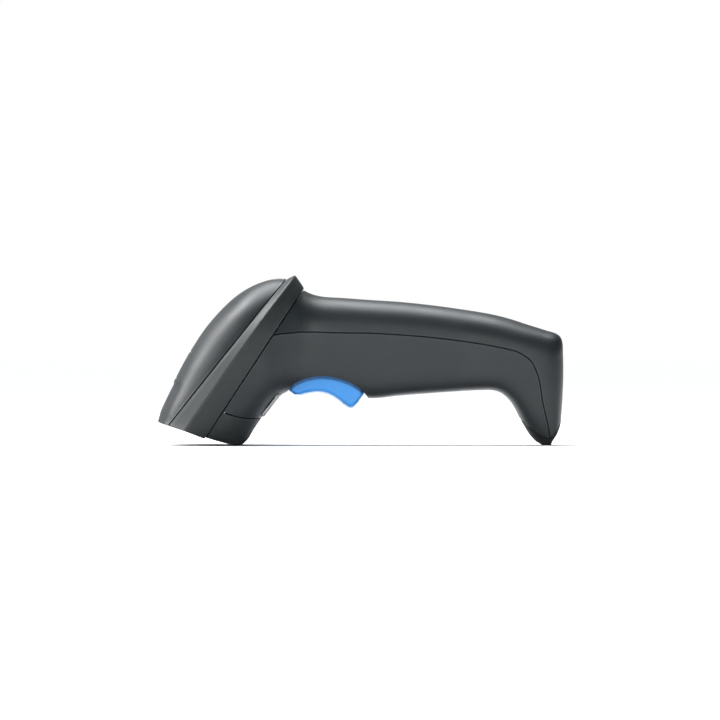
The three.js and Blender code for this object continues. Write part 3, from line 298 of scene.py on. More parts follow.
def wall(name, outer, inner, rim=0.3, steps=4):
    """A closed wall between two grids of points, with its outer rim rounded."""
    rows, columns = outer.shape[:2]
    n = rows * columns
    loop = rim_loop(rows, columns)
    i, j = np.clip(loop // columns, 1, rows - 2), np.clip(loop % columns, 1, columns - 2)
    edge, within, under = (grid.reshape(-1, 3)[k] for grid, k in (
        (outer, loop), (outer, i * columns + j), (inner, loop)))
    down = unit(under - edge)
    along = unit(np.roll(edge, -1, 0) - np.roll(edge, 1, 0))
    inward = within - edge
    room = np.linalg.norm(inward, axis=1, keepdims=True)
    for axis in (down, along):
        inward = inward - axis * np.sum(inward * axis, 1, keepdims=True)
    inward = unit(inward)
    radius = np.minimum(rim, 0.45 * room)
    centre = edge + (inward + down) * radius
    turns = np.linspace(0, np.pi / 2, steps + 1)
    arcs = [centre - down * radius * np.cos(a) - inward * radius * np.sin(a) for a in turns]
    skin = outer.reshape(-1, 3).copy()
    skin[loop] = arcs[0]
    faces = grid_faces(rows, columns) + grid_faces(rows, columns, n, flip=True)
    rings = [loop] + [2 * n + k * len(loop) + np.arange(len(loop)) for k in range(steps)] + [loop + n]
    for near, far in zip(rings, rings[1:]):
        faces += np.stack([np.roll(near, -1), near, far, np.roll(far, -1)], 1).tolist()
    return mesh_object(name, np.concatenate([skin, inner.reshape(-1, 3), *arcs[1:]]), faces)


def loft(name, rows):
    """A closed solid from rows of points round it, with flat ends."""
    rows = np.asarray(rows)
    count, around = rows.shape[:2]
    faces = []
    for i in range(count - 1):
        a = i * around + np.arange(around)
        b = i * around + (np.arange(around) + 1) % around
        faces += np.stack([a, b, b + around, a + around], 1).tolist()
    faces.append(list(range(around))[::-1])
    faces.append([(count - 1) * around + k for k in range(around)])
    return mesh_object(name, rows, faces)


def slab(name, outline, width):
    """A side-view outline extruded across the scanner."""
    outline = np.asarray(outline, float)
    x, z = outline.T
    rows = [np.stack([x, np.full(len(x), side * width / 2), z], 1) for side in (-1, 1)]
    return loft(name, rows)


def box(name, size, centre):
    sx, sy, sz = (v / 2 for v in size)
    x, y, z = centre
    ring = [(-sx, -sy), (sx, -sy), (sx, sy), (-sx, sy)]
    return loft(name, [[(x + a, y + b, z + h) for a, b in ring] for h in (-sz, sz)])


def turned(name, profile, sides=48, matrix=None):
    """A profile of (radius, height) turned round the z axis."""
    angle = np.arange(sides) * 2 * np.pi / sides
    rows = [np.stack([r * np.cos(angle), r * np.sin(angle), np.full(sides, h)], 1) for r, h in profile]
    obj = loft(name, rows)
    if matrix is not None:
        obj.data.transform(matrix)
    return obj


def cylinder(name, radius, low, high, x=0.0, y=0.0, sides=48):
    return turned(name, [(radius, low), (radius, high)], sides, Matrix.Translation((x * MM, y * MM, 0)))


def bake(obj):
    """Turns an object and its modifiers into a plain mesh."""
    graph = bpy.context.evaluated_depsgraph_get()
    graph.update()
    mesh = bpy.data.meshes.new_from_object(
        obj.evaluated_get(graph), preserve_all_data_layers=True, depsgraph=graph)
    old = obj.data
    obj.modifiers.clear()
    obj.data = mesh
    bpy.data.meshes.remove(old)
    mesh.name = obj.name
    return obj


def rounded(obj, width, segments=3, angle=40.0):
    """Rounds an object's sharp edges."""
    mod = obj.modifiers.new("Rounded edges", "BEVEL")
    mod.width = width * MM
    mod.segments = segments
    mod.limit_method = "ANGLE"
    mod.angle_limit = math.radians(angle)
    mod.use_clamp_overlap = True
    mod.miter_outer = "MITER_ARC"
    return bake(obj)


def closed(mesh):
    bm = bmesh.new()
    bm.from_mesh(mesh)
    paired = all(len(edge.link_faces) == 2 for edge in bm.edges)
    bm.free()
    return paired


def combine(obj, tools, operation="DIFFERENCE"):
    """Cuts, joins or trims an object with others, which are used up."""
    for part in (obj, *tools):
        if not closed(part.data):
            raise RuntimeError(part.name + " isn't closed, so it can't be cut or joined")
    for tool in tools:
        mod = obj.modifiers.new("Cut", "BOOLEAN")
        mod.operation = operation
        mod.object = tool
        mod.solver = "MANIFOLD"
    bake(obj)
    if not len(obj.data.polygons):
        raise RuntimeError(obj.name + " was cut away")
    for tool in tools:
        bpy.data.objects.remove(tool)
    return obj


def vertex_normals(mesh):
    """Vertex normals weighted by face area, so that flat faces stay flat beside small rounded edges."""
    normals = np.zeros((len(mesh.vertices), 3))
    face_normals = np.zeros(len(mesh.polygons) * 3)
    areas = np.zeros(len(mesh.polygons))
    sizes = np.zeros(len(mesh.polygons), int)
    corners = np.zeros(len(mesh.loops), int)
    mesh.polygons.foreach_get("normal", face_normals)
    mesh.polygons.foreach_get("area", areas)
    mesh.polygons.foreach_get("loop_total", sizes)
    mesh.loops.foreach_get("vertex_index", corners)
    weighted = face_normals.reshape(-1, 3) * areas[:, None]
    np.add.at(normals, corners, np.repeat(weighted, sizes, axis=0))
    lengths = np.linalg.norm(normals, axis=1, keepdims=True)
    return normals / np.maximum(lengths, 1e-20)


class Skin:
    """The smooth surface of an uncut mesh, from which a cut one takes its shading."""

    def __init__(self, mesh):
        self.normals = vertex_normals(mesh)
        self.points = [v.co.copy() for v in mesh.vertices]
        mesh.calc_loop_triangles()
        self.triangles = [tuple(t.vertices) for t in mesh.loop_triangles]
        self.tree = BVHTree.FromPolygons(self.points, self.triangles)

    def normal(self, point):
        near, _, index, distance = self.tree.find_nearest(point)
        a, b, c = self.triangles[index]
        pa, pb, pc = self.points[a], self.points[b], self.points[c]
        u, v, w = (pb - pa), (pc - pa), (near - pa)
        d00, d01, d11, d20, d21 = u.dot(u), u.dot(v), v.dot(v), w.dot(u), w.dot(v)
        base = d00 * d11 - d01 * d01
        if abs(base) < 1e-24:
            return self.normals[a], distance
        s, t = (d11 * d20 - d01 * d21) / base, (d00 * d21 - d01 * d20) / base
        mixed = self.normals[a] * (1 - s - t) + self.normals[b] * s + self.normals[c] * t
        return mixed / max(np.linalg.norm(mixed), 1e-9), distance


def shade(obj, skin=None, crease=38.0):
    """Smooth shading that stays sharp at creases. A cut mesh is shaded as its skin wherever it lies on it."""
    mesh = obj.data
    mesh.shade_smooth()
    mesh.set_sharp_from_angle(angle=math.radians(crease))
    if skin is None:
        return obj
    corners = np.zeros(len(mesh.loops), int)
    mesh.loops.foreach_get("vertex_index", corners)
    sizes, flat = np.zeros(len(mesh.polygons), int), np.zeros(len(mesh.polygons) * 3)
    mesh.polygons.foreach_get("loop_total", sizes)
    mesh.polygons.foreach_get("normal", flat)
    facing = np.repeat(flat.reshape(-1, 3), sizes, axis=0)
    smooth = np.zeros(len(mesh.loops) * 3, np.float32)
    mesh.corner_normals.foreach_get("vector", smooth)
    smooth = smooth.reshape(-1, 3)
    close, kept = 2e-6, 0.75
    found, distance = zip(*(skin.normal(v.co) for v in mesh.vertices))
    found, distance = np.array(found)[corners], np.array(distance)[corners]
    on_skin = (distance < close) & (np.sum(found * facing, 1) > kept)
    smooth[on_skin] = found[on_skin]
    mesh.normals_split_custom_set(smooth.tolist())
    return obj


def edge_wear(obj, seam_points, reach=6.0):
    """Stores how near each vertex is to a seam, for the wear there and for painted light: painted shade along
    the trigger's edges, a painted shadow under the slot's arch, and a painted highlight along the heel
    rubber's upper edge. It is 1 on the seam, and 0 from the reach on.
    """
    tree = KDTree(len(seam_points))
    for i, p in enumerate(seam_points):
        tree.insert(Vector(p) * MM, i)
    tree.balance()
    nearness = [max(1 - tree.find(v.co)[2] / MM / reach, 0) for v in obj.data.vertices]
    attribute = obj.data.attributes.new("edge_wear", "FLOAT", "POINT")
    attribute.data.foreach_set("value", nearness)


def finish_piece(obj, body, slot, material, *nodes):
    """Gives a piece its material, its body, and the CAD nodes that it stands for, which it hides. The slot is
    not used.
    """
    obj.data.materials.clear()
    obj.data.materials.append(material)
    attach(obj, body)
    if nodes:
        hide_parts(*nodes)
    return obj


# ---- Settings ------------------------------------------------------------------------------------


class CasingSettings(bpy.types.PropertyGroup):
    shell_color: FloatVectorProperty(
        name="Shell colour", description="Moulded colour of the hood and both body shells",
        default=(0.0065, 0.0105, 0.0125), size=3, min=0, max=1, subtype="COLOR")
    band_color: FloatVectorProperty(
        name="Band colour", description="Colour of the bumper band and the chin guard",
        default=(0.0135, 0.0175, 0.0185), size=3, min=0, max=1, subtype="COLOR")
    trigger_color: FloatVectorProperty(
        name="Trigger colour", description="Colour of the trigger",
        default=(0.055, 0.33, 0.84), size=3, min=0, max=1, subtype="COLOR")
    rim_radius: FloatProperty(
        name="Rim radius", description="Rounding of the shells' edges along their joints, in millimetres",
        default=0.3, min=0.05, max=0.8)
    ridge_radius: FloatProperty(
        name="Ridge rounding", description="How far the band's ridge is rounded to each side, in millimetres",
        default=0.9, min=0.2, max=3)
    grain: FloatProperty(
        name="Grain", description="Size of the moulded texture's grain, in millimetres",
        default=0.32, min=0.1, max=2)
    wear: FloatProperty(
        name="Wear", description="How polished the edges and the grip are",
        default=0.5, min=0, max=1, subtype="FACTOR")


class FittingSettings(bpy.types.PropertyGroup):
    screw_turns: IntProperty(
        name="Thread turns", description="Turns of thread along each screw", default=9, min=2, max=20)
    contacts: IntProperty(
        name="Contacts", description="Spring contacts in the cable socket", default=8, min=4, max=10)
    spring_turns: IntProperty(
        name="Spring turns", description="Turns of the trigger's return spring", default=5, min=3, max=9)
    board_seed: IntProperty(
        name="Board seed", description="How the small parts are scattered over the main board",
        default=4, min=0)


class StageSettings(bpy.types.PropertyGroup):
    floor_color: FloatVectorProperty(
        name="Floor colour", description="Colour of the floor and the backdrop",
        default=(0.9, 0.9, 0.9), size=3, min=0, max=1, subtype="COLOR")
    camera_distance: FloatProperty(
        name="Camera distance", description="From the camera to the middle of the scanner",
        default=2.4, min=0.5, max=6, unit="LENGTH")
    surround: FloatProperty(
        name="Surround", description="How much light the white surround gives",
        default=0.5, min=0, max=4)
    ceiling: FloatProperty(
        name="Ceiling light", description="Strength of the soft light from above",
        default=2.75, min=0, max=20)
    ceiling_spread: FloatProperty(
        name="Ceiling spread", description="How wide the light from above is, in degrees",
        default=50, min=5, max=120)
    side_light: FloatProperty(
        name="Side light", description="Brightness of the soft boxes at the sides",
        default=3.0, min=0, max=20)
    view_width: FloatProperty(
        name="View width", description="Width of what the camera sees, at the scanner",
        default=0.3024, min=0.1, max=2, unit="LENGTH")


def settings(name):
    return getattr(bpy.context.scene, name)


# ---- Materials -----------------------------------------------------------------------------------


RANGE = ("From Min", "From Max", "To Min", "To Max")


class Shader:
    """A material's node tree, with the few calls that the finishes below are made of."""

    def __init__(self, name, **constants):
        self.material = bpy.data.materials.new(name)
        self.material.use_nodes = True
        self.nodes = self.material.node_tree.nodes
        self.links = self.material.node_tree.links
        self.nodes.clear()
        self.surface = self.nodes.new("ShaderNodeBsdfPrincipled")
        output = self.nodes.new("ShaderNodeOutputMaterial")
        self.links.new(self.surface.outputs[0], output.inputs[0])
        self.coordinates = self.nodes.new("ShaderNodeTexCoord").outputs["Object"]
        for socket, value in constants.items():
            self.surface.inputs[socket.replace("_", " ")].default_value = value

    def put(self, socket, value):
        """Links an output to an input, or sets the input's own value."""
        if isinstance(value, bpy.types.NodeSocket):
            self.links.new(value, socket)
        else:
            socket.default_value = value

    def stretched(self, scale):
        node = self.nodes.new("ShaderNodeMapping")
        self.links.new(self.coordinates, node.inputs["Vector"])
        node.inputs["Scale"].default_value = scale
        return node.outputs[0]

    def noise(self, size, detail=2.0, roughness=0.5, distortion=0.0, vector=None):
        """Noise whose features are about size millimetres across."""
        node = self.nodes.new("ShaderNodeTexNoise")
        self.links.new(vector or self.coordinates, node.inputs["Vector"])
        node.inputs["Scale"].default_value = 1 / (size * MM)
        node.inputs["Detail"].default_value = detail
        node.inputs["Roughness"].default_value = roughness
        node.inputs["Distortion"].default_value = distortion
        return node.outputs["Fac"]

    def cells(self, size):
        """Rounded cells about size millimetres across."""
        node = self.nodes.new("ShaderNodeTexVoronoi")
        node.feature = "SMOOTH_F1"
        self.links.new(self.coordinates, node.inputs["Vector"])
        node.inputs["Scale"].default_value = 1 / (size * MM)
        return node.outputs["Distance"]

    def attribute(self, name):
        node = self.nodes.new("ShaderNodeAttribute")
        node.attribute_name = name
        return node.outputs["Fac"]

    def ramp(self, value, low, high, to_low=0.0, to_high=1.0):
        """A smooth rise from one level to another, as the value goes from low to high."""
        node = self.nodes.new("ShaderNodeMapRange")
        node.interpolation_type = "SMOOTHSTEP"
        self.put(node.inputs["Value"], value)
        for socket, number in zip(RANGE, (low, high, to_low, to_high)):
            node.inputs[socket].default_value = number
        return node.outputs["Result"]

    def math(self, operation, a, b):
        node = self.nodes.new("ShaderNodeMath")
        node.operation = operation
        self.put(node.inputs[0], a)
        self.put(node.inputs[1], b)
        return node.outputs[0]

    def mix(self, factor, a, b):
        """A mix of two colours."""
        node = self.nodes.new("ShaderNodeMix")
        node.data_type = "RGBA"
        self.put(node.inputs["Factor"], factor)
        for socket, value in ((node.inputs["A"], a), (node.inputs["B"], b)):
            self.put(socket, value if isinstance(value, bpy.types.NodeSocket) else (*value, 1.0))
        return node.outputs["Result"]

    def bump(self, height, depth, strength=1.0, normal=None):
        """A bump of this depth in millimetres."""
        node = self.nodes.new("ShaderNodeBump")
        node.inputs["Strength"].default_value = strength
        node.inputs["Distance"].default_value = depth * MM
        self.put(node.inputs["Height"], height)
        if normal:
            self.links.new(normal, node.inputs["Normal"])
        return node.outputs[0]

    def soft_edges(self, radius):
        """Shading that rounds sharp edges by this radius in millimetres."""
        node = self.nodes.new("ShaderNodeBevel")
        node.samples = 4
        node.inputs["Radius"].default_value = radius * MM
        return node.outputs[0]

    def set(self, **sockets):
        for name, value in sockets.items():
            self.put(self.surface.inputs[name.replace("_", " ")], value)
        return self.material


def lighter(color, k):
    return tuple(min(c * k, 1.0) for c in color)


def moulded(name, color, roughness, grain, depth, wear, edges=0.25, **constants):
    """Textured moulded plastic: a fine grain, handled patches that shine a little, and polished edges painted
    lighter, which on the heel rubber are partly a painted highlight.
    """
    m = Shader(name, **constants)
    soft = m.math("MULTIPLY", m.noise(grain, 2, 0.6), 0.6)
    fine = m.math("ADD", soft, m.math("MULTIPLY", m.cells(grain * 1.3), 0.4))
    patches = m.ramp(m.noise(26, 3, 0.55, 0.4), 0.35, 0.7)
    tint = m.ramp(m.noise(9, 4, 0.6), 0.3, 0.75)
    # Lighter near the marked edges: wear along the shells' seams, and on the heel rubber partly a painted
    # highlight along the boot's upper edge.
    worn = m.math("MULTIPLY", m.ramp(m.attribute("edge_wear"), 0.82, 0.97, 0.0, wear),
                  m.ramp(m.noise(3.5, 3, 0.6), 0.3, 0.6, 0.3, 1.0))
    base = m.mix(tint, lighter(color, 0.94), lighter(color, 1.07))
    streaks = m.ramp(m.noise(1.2, 2, 0.5, vector=m.stretched((0.06, 1, 0.5))), 0.72, 0.8, 0.0, 0.35 * wear)
    base = m.mix(worn, base, lighter(color, 2.2))
    rough = m.math("ADD", m.math("MULTIPLY", patches, -0.09), roughness + 0.04)
    rough = m.math("ADD", rough, m.math("MULTIPLY", m.math("ADD", worn, streaks), -0.16))
    rough = m.math("ADD", rough, m.math("MULTIPLY", fine, 0.06))
    return m.set(Base_Color=base, Roughness=rough, Normal=m.bump(fine, depth, normal=m.soft_edges(edges)))


ready = {}


def finish(name):
    """A finish by name, made the first time that it is asked for."""
    if name not in ready:
        ready[name] = FINISHES[name](settings("scanner_casing"))
    return ready[name]


def trigger_finish(look):
    """Glossy blue plastic, with painted shade along its edges where they turn away and a painted shadow under
    the casing's arch.
    """
    m = Shader("Blue trigger plastic", Specular_IOR_Level=0.45, Subsurface_Weight=0.08,
               Subsurface_Scale=0.0008)
    m.surface.inputs["Subsurface Radius"].default_value = (0.5, 0.7, 1.0)
    peel = m.noise(1.6, 2, 0.5)
    tint = m.ramp(m.noise(7, 3, 0.6), 0.3, 0.75)
    worn = m.math("MULTIPLY", m.ramp(m.attribute("edge_wear"), 0.76, 0.96, 0.0, look.wear * 0.12),
                  m.ramp(m.noise(2.5, 3, 0.6), 0.4, 0.65))
    color = tuple(look.trigger_color)
    base = m.mix(tint, lighter(color, 0.98), lighter(color, 1.02))
    # Painted shade: the base turns dark blue along the trigger's edges, and in a band under the slot's arch
    # where the casing's shadow falls.
    rim = m.ramp(m.attribute("edge_wear"), 0.8, 0.94, 0.0, 0.95)
    base = m.mix(rim, base, (0.0, color[1] * 0.26, color[2] * 0.34))
    base = m.mix(worn, base, (0.25, 0.5, 0.85))
    smudges = m.ramp(m.noise(6, 4, 0.6, 0.6), 0.4, 0.7, 0.3, 0.36)
    return m.set(Base_Color=base, Roughness=smudges, Normal=m.bump(peel, 0.006, normal=m.soft_edges(0.3)))


def label_finish(look):
    """Brushed silver foil, with nothing printed on it."""
    m = Shader("Silver label foil", Metallic=0.4)
    brushed = m.noise(0.5, 3, 0.7, vector=m.stretched((1, 0.04, 1)))
    base = m.mix(m.ramp(m.noise(8, 3), 0.3, 0.7), (0.28, 0.285, 0.29), (0.36, 0.365, 0.37))
    rough = m.ramp(brushed, 0.2, 0.8, 0.34, 0.48)
    return m.set(Base_Color=base, Roughness=rough, Normal=m.bump(brushed, 0.006, normal=m.soft_edges(0.12)))


def window_finish(look):
    """Red filter glass, with a little dust on it."""
    m = Shader("Red filter glass", Transmission_Weight=1.0, IOR=1.5)
    dust = m.ramp(m.noise(0.7, 5, 0.65), 0.62, 0.8)
    base = m.mix(dust, (0.62, 0.02, 0.03), (0.5, 0.12, 0.12))
    return m.set(Base_Color=base, Roughness=m.ramp(dust, 0, 1, 0.02, 0.25))


def clear_finish(look):
    m = Shader("Clear moulded lens", Transmission_Weight=0.9, IOR=1.49)
    frost = m.noise(0.4, 3, 0.6)
    base = m.mix(frost, (0.78, 0.84, 0.86), (0.9, 0.94, 0.95))
    return m.set(Base_Color=base, Roughness=m.ramp(frost, 0.2, 0.8, 0.08, 0.2))


def steel_finish(look):
    m = Shader("Zinc-plated steel", Metallic=1.0)
    stain = m.noise(1.2, 4, 0.6)
    base = m.mix(m.ramp(stain, 0.3, 0.7), (0.5, 0.5, 0.49), (0.66, 0.65, 0.62))
    rough = m.ramp(stain, 0.3, 0.7, 0.24, 0.4)
    return m.set(Base_Color=base, Roughness=rough, Normal=m.bump(m.noise(0.2, 2), 0.003))


def mirror_finish(look):
    m = Shader("Silvered mirror", Metallic=1.0)
    haze = m.noise(5, 4, 0.6)
    base = m.mix(m.ramp(haze, 0.4, 0.8), (0.9, 0.91, 0.92), (0.84, 0.86, 0.87))
    return m.set(Base_Color=base, Roughness=m.ramp(haze, 0.4, 0.8, 0.02, 0.06))


def gold_finish(look):
    m = Shader("Gold-plated contacts", Metallic=1.0)
    tone = m.noise(0.8, 3)
    base = m.mix(tone, (0.72, 0.48, 0.17), (0.85, 0.62, 0.27))
    return m.set(Base_Color=base, Roughness=m.ramp(tone, 0, 1, 0.2, 0.34))


def board_finish(look):
    """Green solder resist over copper tracks."""
    m = Shader("Circuit board")
    tracks = m.nodes.new("ShaderNodeTexBrick")
    m.links.new(m.coordinates, tracks.inputs["Vector"])
    spacing = {"Scale": 260.0, "Mortar Size": 0.03, "Mortar Smooth": 0.1, "Brick Width": 0.9}
    for socket, value in spacing.items():
        tracks.inputs[socket].default_value = value
    copper = m.math("MULTIPLY", tracks.outputs["Fac"], m.ramp(m.noise(5, 2), 0.45, 0.55))
    base = m.mix(copper, (0.008, 0.085, 0.032), (0.03, 0.2, 0.06))
    rough = m.ramp(m.noise(2, 3), 0.2, 0.8, 0.3, 0.45)
    return m.set(Base_Color=base, Roughness=rough, Normal=m.bump(copper, 0.03))


def ribbon_finish(look):
    """Flat flexible cable: pale film with its conductors showing through as lengthwise lines."""
    m = Shader("Flat cable film")
    wave = m.nodes.new("ShaderNodeTexWave")
    wave.bands_direction = "Y"
    m.links.new(m.coordinates, wave.inputs["Vector"])
    wave.inputs["Scale"].default_value = 314.0
    lines = m.ramp(wave.outputs["Fac"], 0.3, 0.6)
    base = m.mix(lines, (0.72, 0.7, 0.62), (0.42, 0.42, 0.4))
    rough = m.ramp(m.noise(3, 2), 0.2, 0.8, 0.35, 0.5)
    return m.set(Base_Color=base, Roughness=rough, Normal=m.bump(lines, 0.02))


# Moulded finishes give a name, a colour, roughness, grain size, grain depth, wear and edge rounding.
FINISHES = {
    "shell": lambda look: moulded("Satin shell plastic", look.shell_color, 0.4, look.grain, 0.012, look.wear),
    "band": lambda look: moulded(
        "Matt band plastic", look.band_color, 0.48, look.grain * 2, 0.05, look.wear * 0.8),
    "rubber": lambda look: moulded(
        "Heel rubber", (0.006, 0.0065, 0.007), 0.62, look.grain * 0.8, 0.015, look.wear * 0.6,
        Specular_IOR_Level=0.3),
    "black_plastic": lambda look: moulded(
        "Black engineering plastic", (0.014, 0.015, 0.016), 0.45, look.grain, 0.01, look.wear * 0.5),
    "badge": lambda look: moulded(
        "Badge inlay", lighter(look.shell_color, 0.62), 0.24, 0.3, 0.002, 0.1, 0.15),
    "foam": lambda look: moulded("Foam gasket", (0.02, 0.02, 0.021), 0.9, 0.5, 0.08, 0.0),
    "chip": lambda look: moulded("Chip package", (0.014, 0.014, 0.016), 0.5, 0.15, 0.005, 0.0, 0.1),
    "ceramic": lambda look: moulded("Off-white ceramic", (0.6, 0.58, 0.5), 0.4, 0.2, 0.003, 0.0, 0.1),
    "trigger": trigger_finish,
    "label": label_finish,
    "window": window_finish,
    "clear": clear_finish,
    "steel": steel_finish,
    "mirror": mirror_finish,
    "board": board_finish,
    "ribbon": ribbon_finish,
    "gold": gold_finish,
}


# ---- Casing --------------------------------------------------------------------------------------


def skin_grid(rows, columns, inset, place):
    """Points of the casing's skin drawn in by inset, where place gives a section and an angle for a row
    r = 0 .. 1 and a column c = -1 .. 1."""
    r = np.linspace(0, 1, rows + 1)[:, None]
    c = np.linspace(-1, 1, columns + 1)[None, :]
    s, angle_of = place(r, c, inset)
    section = Section(np.broadcast_to(s, (rows + 1, columns + 1)), inset)
    return section.point(angle_of(section))


def body_angle(c):
    """Columns of the body run from seam to seam, with c = 0 along the bottom."""

    def angle_of(section):
        gap = SEAM / 2 / section.length
        band = np.where(section.s < NECK[1], section.crossing(moved(BODY_LINE, SEAM / 2)), 0)
        seam = np.maximum(section.widest + gap, band)
        return np.where(c < 0, -1, 1) * (np.pi - np.abs(c) * (np.pi - section.angle(seam)))

    return angle_of


# The chin ends at this section across the sides. From this far down, it sweeps back by so many sections.
# The spacing is how many millimetres one section is there.
CHIN = {"side": 3.44, "back": 0.56, "start": 0.6}
CHIN["spacing"] = np.linalg.norm(Section(4.0).upper - Section(3.0).upper) * 0.8


def chin_section(c, side):
    """Where the chin parts from the body: level across the sides, swept back under the bottom."""
    s = np.full(np.shape(c), CHIN["side"])
    for _ in range(12):
        section = Section(s)
        down = section.down(body_angle(c)(section))
        s = CHIN["side"] + CHIN["back"] * np.maximum((down - CHIN["start"]) / (1 - CHIN["start"]), 0) ** 3
    return s + side * SEAM / 2 / CHIN["spacing"]


def upper_angle(c):
    """Columns of the handle's upper shell run from seam to seam over the top."""
    return lambda section: c * section.angle(section.widest - SEAM / 2 / section.length)


def upper_start(c, inset):
    """Where the handle's upper shell starts, behind the band."""
    start, along = moved(BODY_LINE, SEAM / 2)
    low, high = np.full(c.shape, NECK[0] + 0.0), np.full(c.shape, NECK[1] + 1.0)
    for _ in range(34):
        s = (low + high) / 2
        section = Section(s, inset)
        past = cross2(section.point(upper_angle(c)(section))[..., ::2] - start, along) > 0
        low, high = np.where(past, low, s), np.where(past, s, high)
    return high


def hood_place(r, c, inset):
    line = moved(HOOD_LINE, -SEAM / 2)
    end = line_end(line, inset) - 0.01
    return end * np.sin(r * np.pi / 2), lambda section: c * section.angle(section.crossing(line))


def body_place(r, c, inset):
    start = chin_section(c, 1)
    return start + r * (HEEL - start), body_angle(c)


def chin_place(r, c, inset):
    return r * chin_section(c, -1), body_angle(c)


def upper_place(r, c, inset):
    start = upper_start(c, inset)
    return start + r * (HEEL - start), upper_angle(c)


def shell(name, rows, columns, place, detail=None):
    """A shell of the casing with rounded rims, its smooth skin, and the points of its outer rim."""
    outer = skin_grid(rows, columns, 0.0, place)
    if detail:
        outer = detail(outer)
    inner = skin_grid(rows, columns, WALL, place)
    obj = wall(name, outer, inner, settings("scanner_casing").rim_radius)
    rim = outer.reshape(-1, 3)[rim_loop(*outer.shape[:2])]
    return obj, Skin(obj.data), rim


def hull(name, inset, first, last, around=96, rows=80):
    """The casing's whole outline as one solid, drawn in by inset, between two sections."""
    s = np.linspace(first, last, rows)[:, None]
    angle = np.linspace(-np.pi, np.pi, around, endpoint=False)[None, :]
    section = Section(np.broadcast_to(s, (rows, around)), inset)
    return loft(name, section.point(np.broadcast_to(angle, (rows, around))))


# The boot's joint with the shells, from the front of the hook to the back, and its tongue behind that joint.
TONGUE = {"inset": 0.8, "high": 0.2}
HEEL_LINE = [(66.4, 11.9), (68.0, 10.4), (70.5, 7.6), (72.7, 5.9), (75.1, 4.2), (77.5, 3.3), (79.2, 2.8)]
HEEL_RISE = [(80.8, 4.1), (82.3, 6.5), (83.6, 9.2), (85.0, 12.4), (86.5, 12.9)]
UNDER = -10
BOOT_START = 20


def heel_line(steps):
    return np.concatenate([spline(HEEL_LINE, np.linspace(0, 1, steps)), HEEL_RISE])


def heel_region(gap):
    """Everything below the heel boot's upper edge."""
    line = heel_line(40) + (0, gap)
    ends = [(line[k][0], UNDER) for k in (0, -1)]
    return slab("Heel region", [*ends, *line[::-1]], WIDTH)


# The trigger's slot in the side view: its two lower corners, its arched top, and the room round the trigger.
SLOT_FRONT, SLOT_REAR = np.array((-29.7, 23.0)), np.array((1.6, 21.6))
SLOT_CLEARANCE = 0.45
ARCH = [(-27.3, 25.9), (-23.1, 27.8), (-16.8, 28.9), (-10.5, 28.4), (-4.2, 26.3), (-0.4, 24.0)]
PIVOT = np.array((-27.3, 27.3))
TRIGGER_HALF = (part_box("trigger")[1].y) / MM


def trigger_slot():
    """The slot for the trigger, open below, with a pocket in the middle for its back."""
    front, rear = SLOT_FRONT - (SLOT_CLEARANCE, 0), SLOT_REAR + (SLOT_CLEARANCE, 0)
    below = 2 * UNDER
    arch = spline(ARCH, np.linspace(1, 0, 70))
    outline = [(front[0] - 3, below), (rear[0] + 2, below), (rear[0] + 2, rear[1] - 2.4), rear, *arch, front,
               (front[0] - 3, front[1] - 3)]
    side = slab("Slot", outline, WIDTH)
    size = (rear[0] - front[0], 2 * (TRIGGER_HALF + SLOT_CLEARANCE), PIVOT[1] - below)
    pocket = box("Pocket", size, ((front[0] + rear[0]) / 2, 0, (PIVOT[1] + below) / 2))
    return combine(side, [pocket], "UNION")


LABEL = {"thickness": 0.9, "width": 24.0, "sink": 0.35, "from": (-40.7, 12.3), "to": (-33.6, 21.5)}


def label_slab(gap=0.0):
    """The plate under the neck, or with a gap the room for it."""
    start, end = np.array(LABEL["from"]), np.array(LABEL["to"])
    along = unit(end - start)
    aside = np.array((along[1], -along[0]))
    inner, outer = -LABEL["sink"] - gap, LABEL["thickness"] - LABEL["sink"]
    outline = [start - along * gap + aside * inner, end + along * gap + aside * inner,
               end + along * gap + aside * outer, start - along * gap + aside * outer]
    return slab("neck_label_plate", outline, LABEL["width"] + 2 * gap)


HANDLE_SCREWS = ("handle_screw_front", "handle_screw_rear")
HEAD_SCREWS = ("head_screw_left", "head_screw_right")
SCREW = {"core": 1.02, "thread": 0.3, "head": 2.4, "head_height": 1.6, "point": 1.5, "tip": 0.25}
BORE = {"head": 2.7, "shank": 1.6, "bottom": -5, "top": 60}


def screw_bores():
    """The bores of the handle's screws, wide enough for the heads as far as their seats."""
    bores = []
    for node in HANDLE_SCREWS:
        low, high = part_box(node)
        seat = low.z / MM + SCREW["head_height"]
        profile = [(BORE["head"], BORE["bottom"]), (BORE["head"], seat),
                   (BORE["shank"], seat + 0.01), (BORE["shank"], BORE["top"])]
        bores.append(turned("Bore", profile, matrix=Matrix.Translation(((low.x + high.x) / 2, 0, 0))))
    return bores


# The step below the badge: a point on it, its slope in the side view, and where it fades out on the flanks.
STEP = {"x": -78.5, "z": 26.2, "slope": 0.17, "width": 0.8, "depth": 0.5, "to": 26.0, "fade": 8.0}

# A tongue behind a seam: how far it goes to each side, its own thickness, and its clearance from the wall.
LIP = {"below": 2.2, "above": 1.6, "thickness": 0.9, "clearance": 0.1, "root": WALL - 0.5}
LIP["near"] = WALL + LIP["clearance"]
LIP["far"] = LIP["near"] + LIP["thickness"]


def handle_lip(side):
    """The lower shell's tongue inside the seam of the handle, which keeps light and dust out."""
    down = np.array([LIP["below"], 1.2, 0.4, 0.0, -0.4, -LIP["above"]])[None, :]
    s = np.linspace(7.5, HEEL - 1.2, 150)[:, None] + 0 * down
    near = np.where(down > 0.6, LIP["root"], LIP["near"])

    def face(inset):
        section = Section(s, inset)
        return section.point(side * section.angle(section.widest + down / section.length))

    return wall("Lip", face(near), face(LIP["far"]), 0.05, 1)


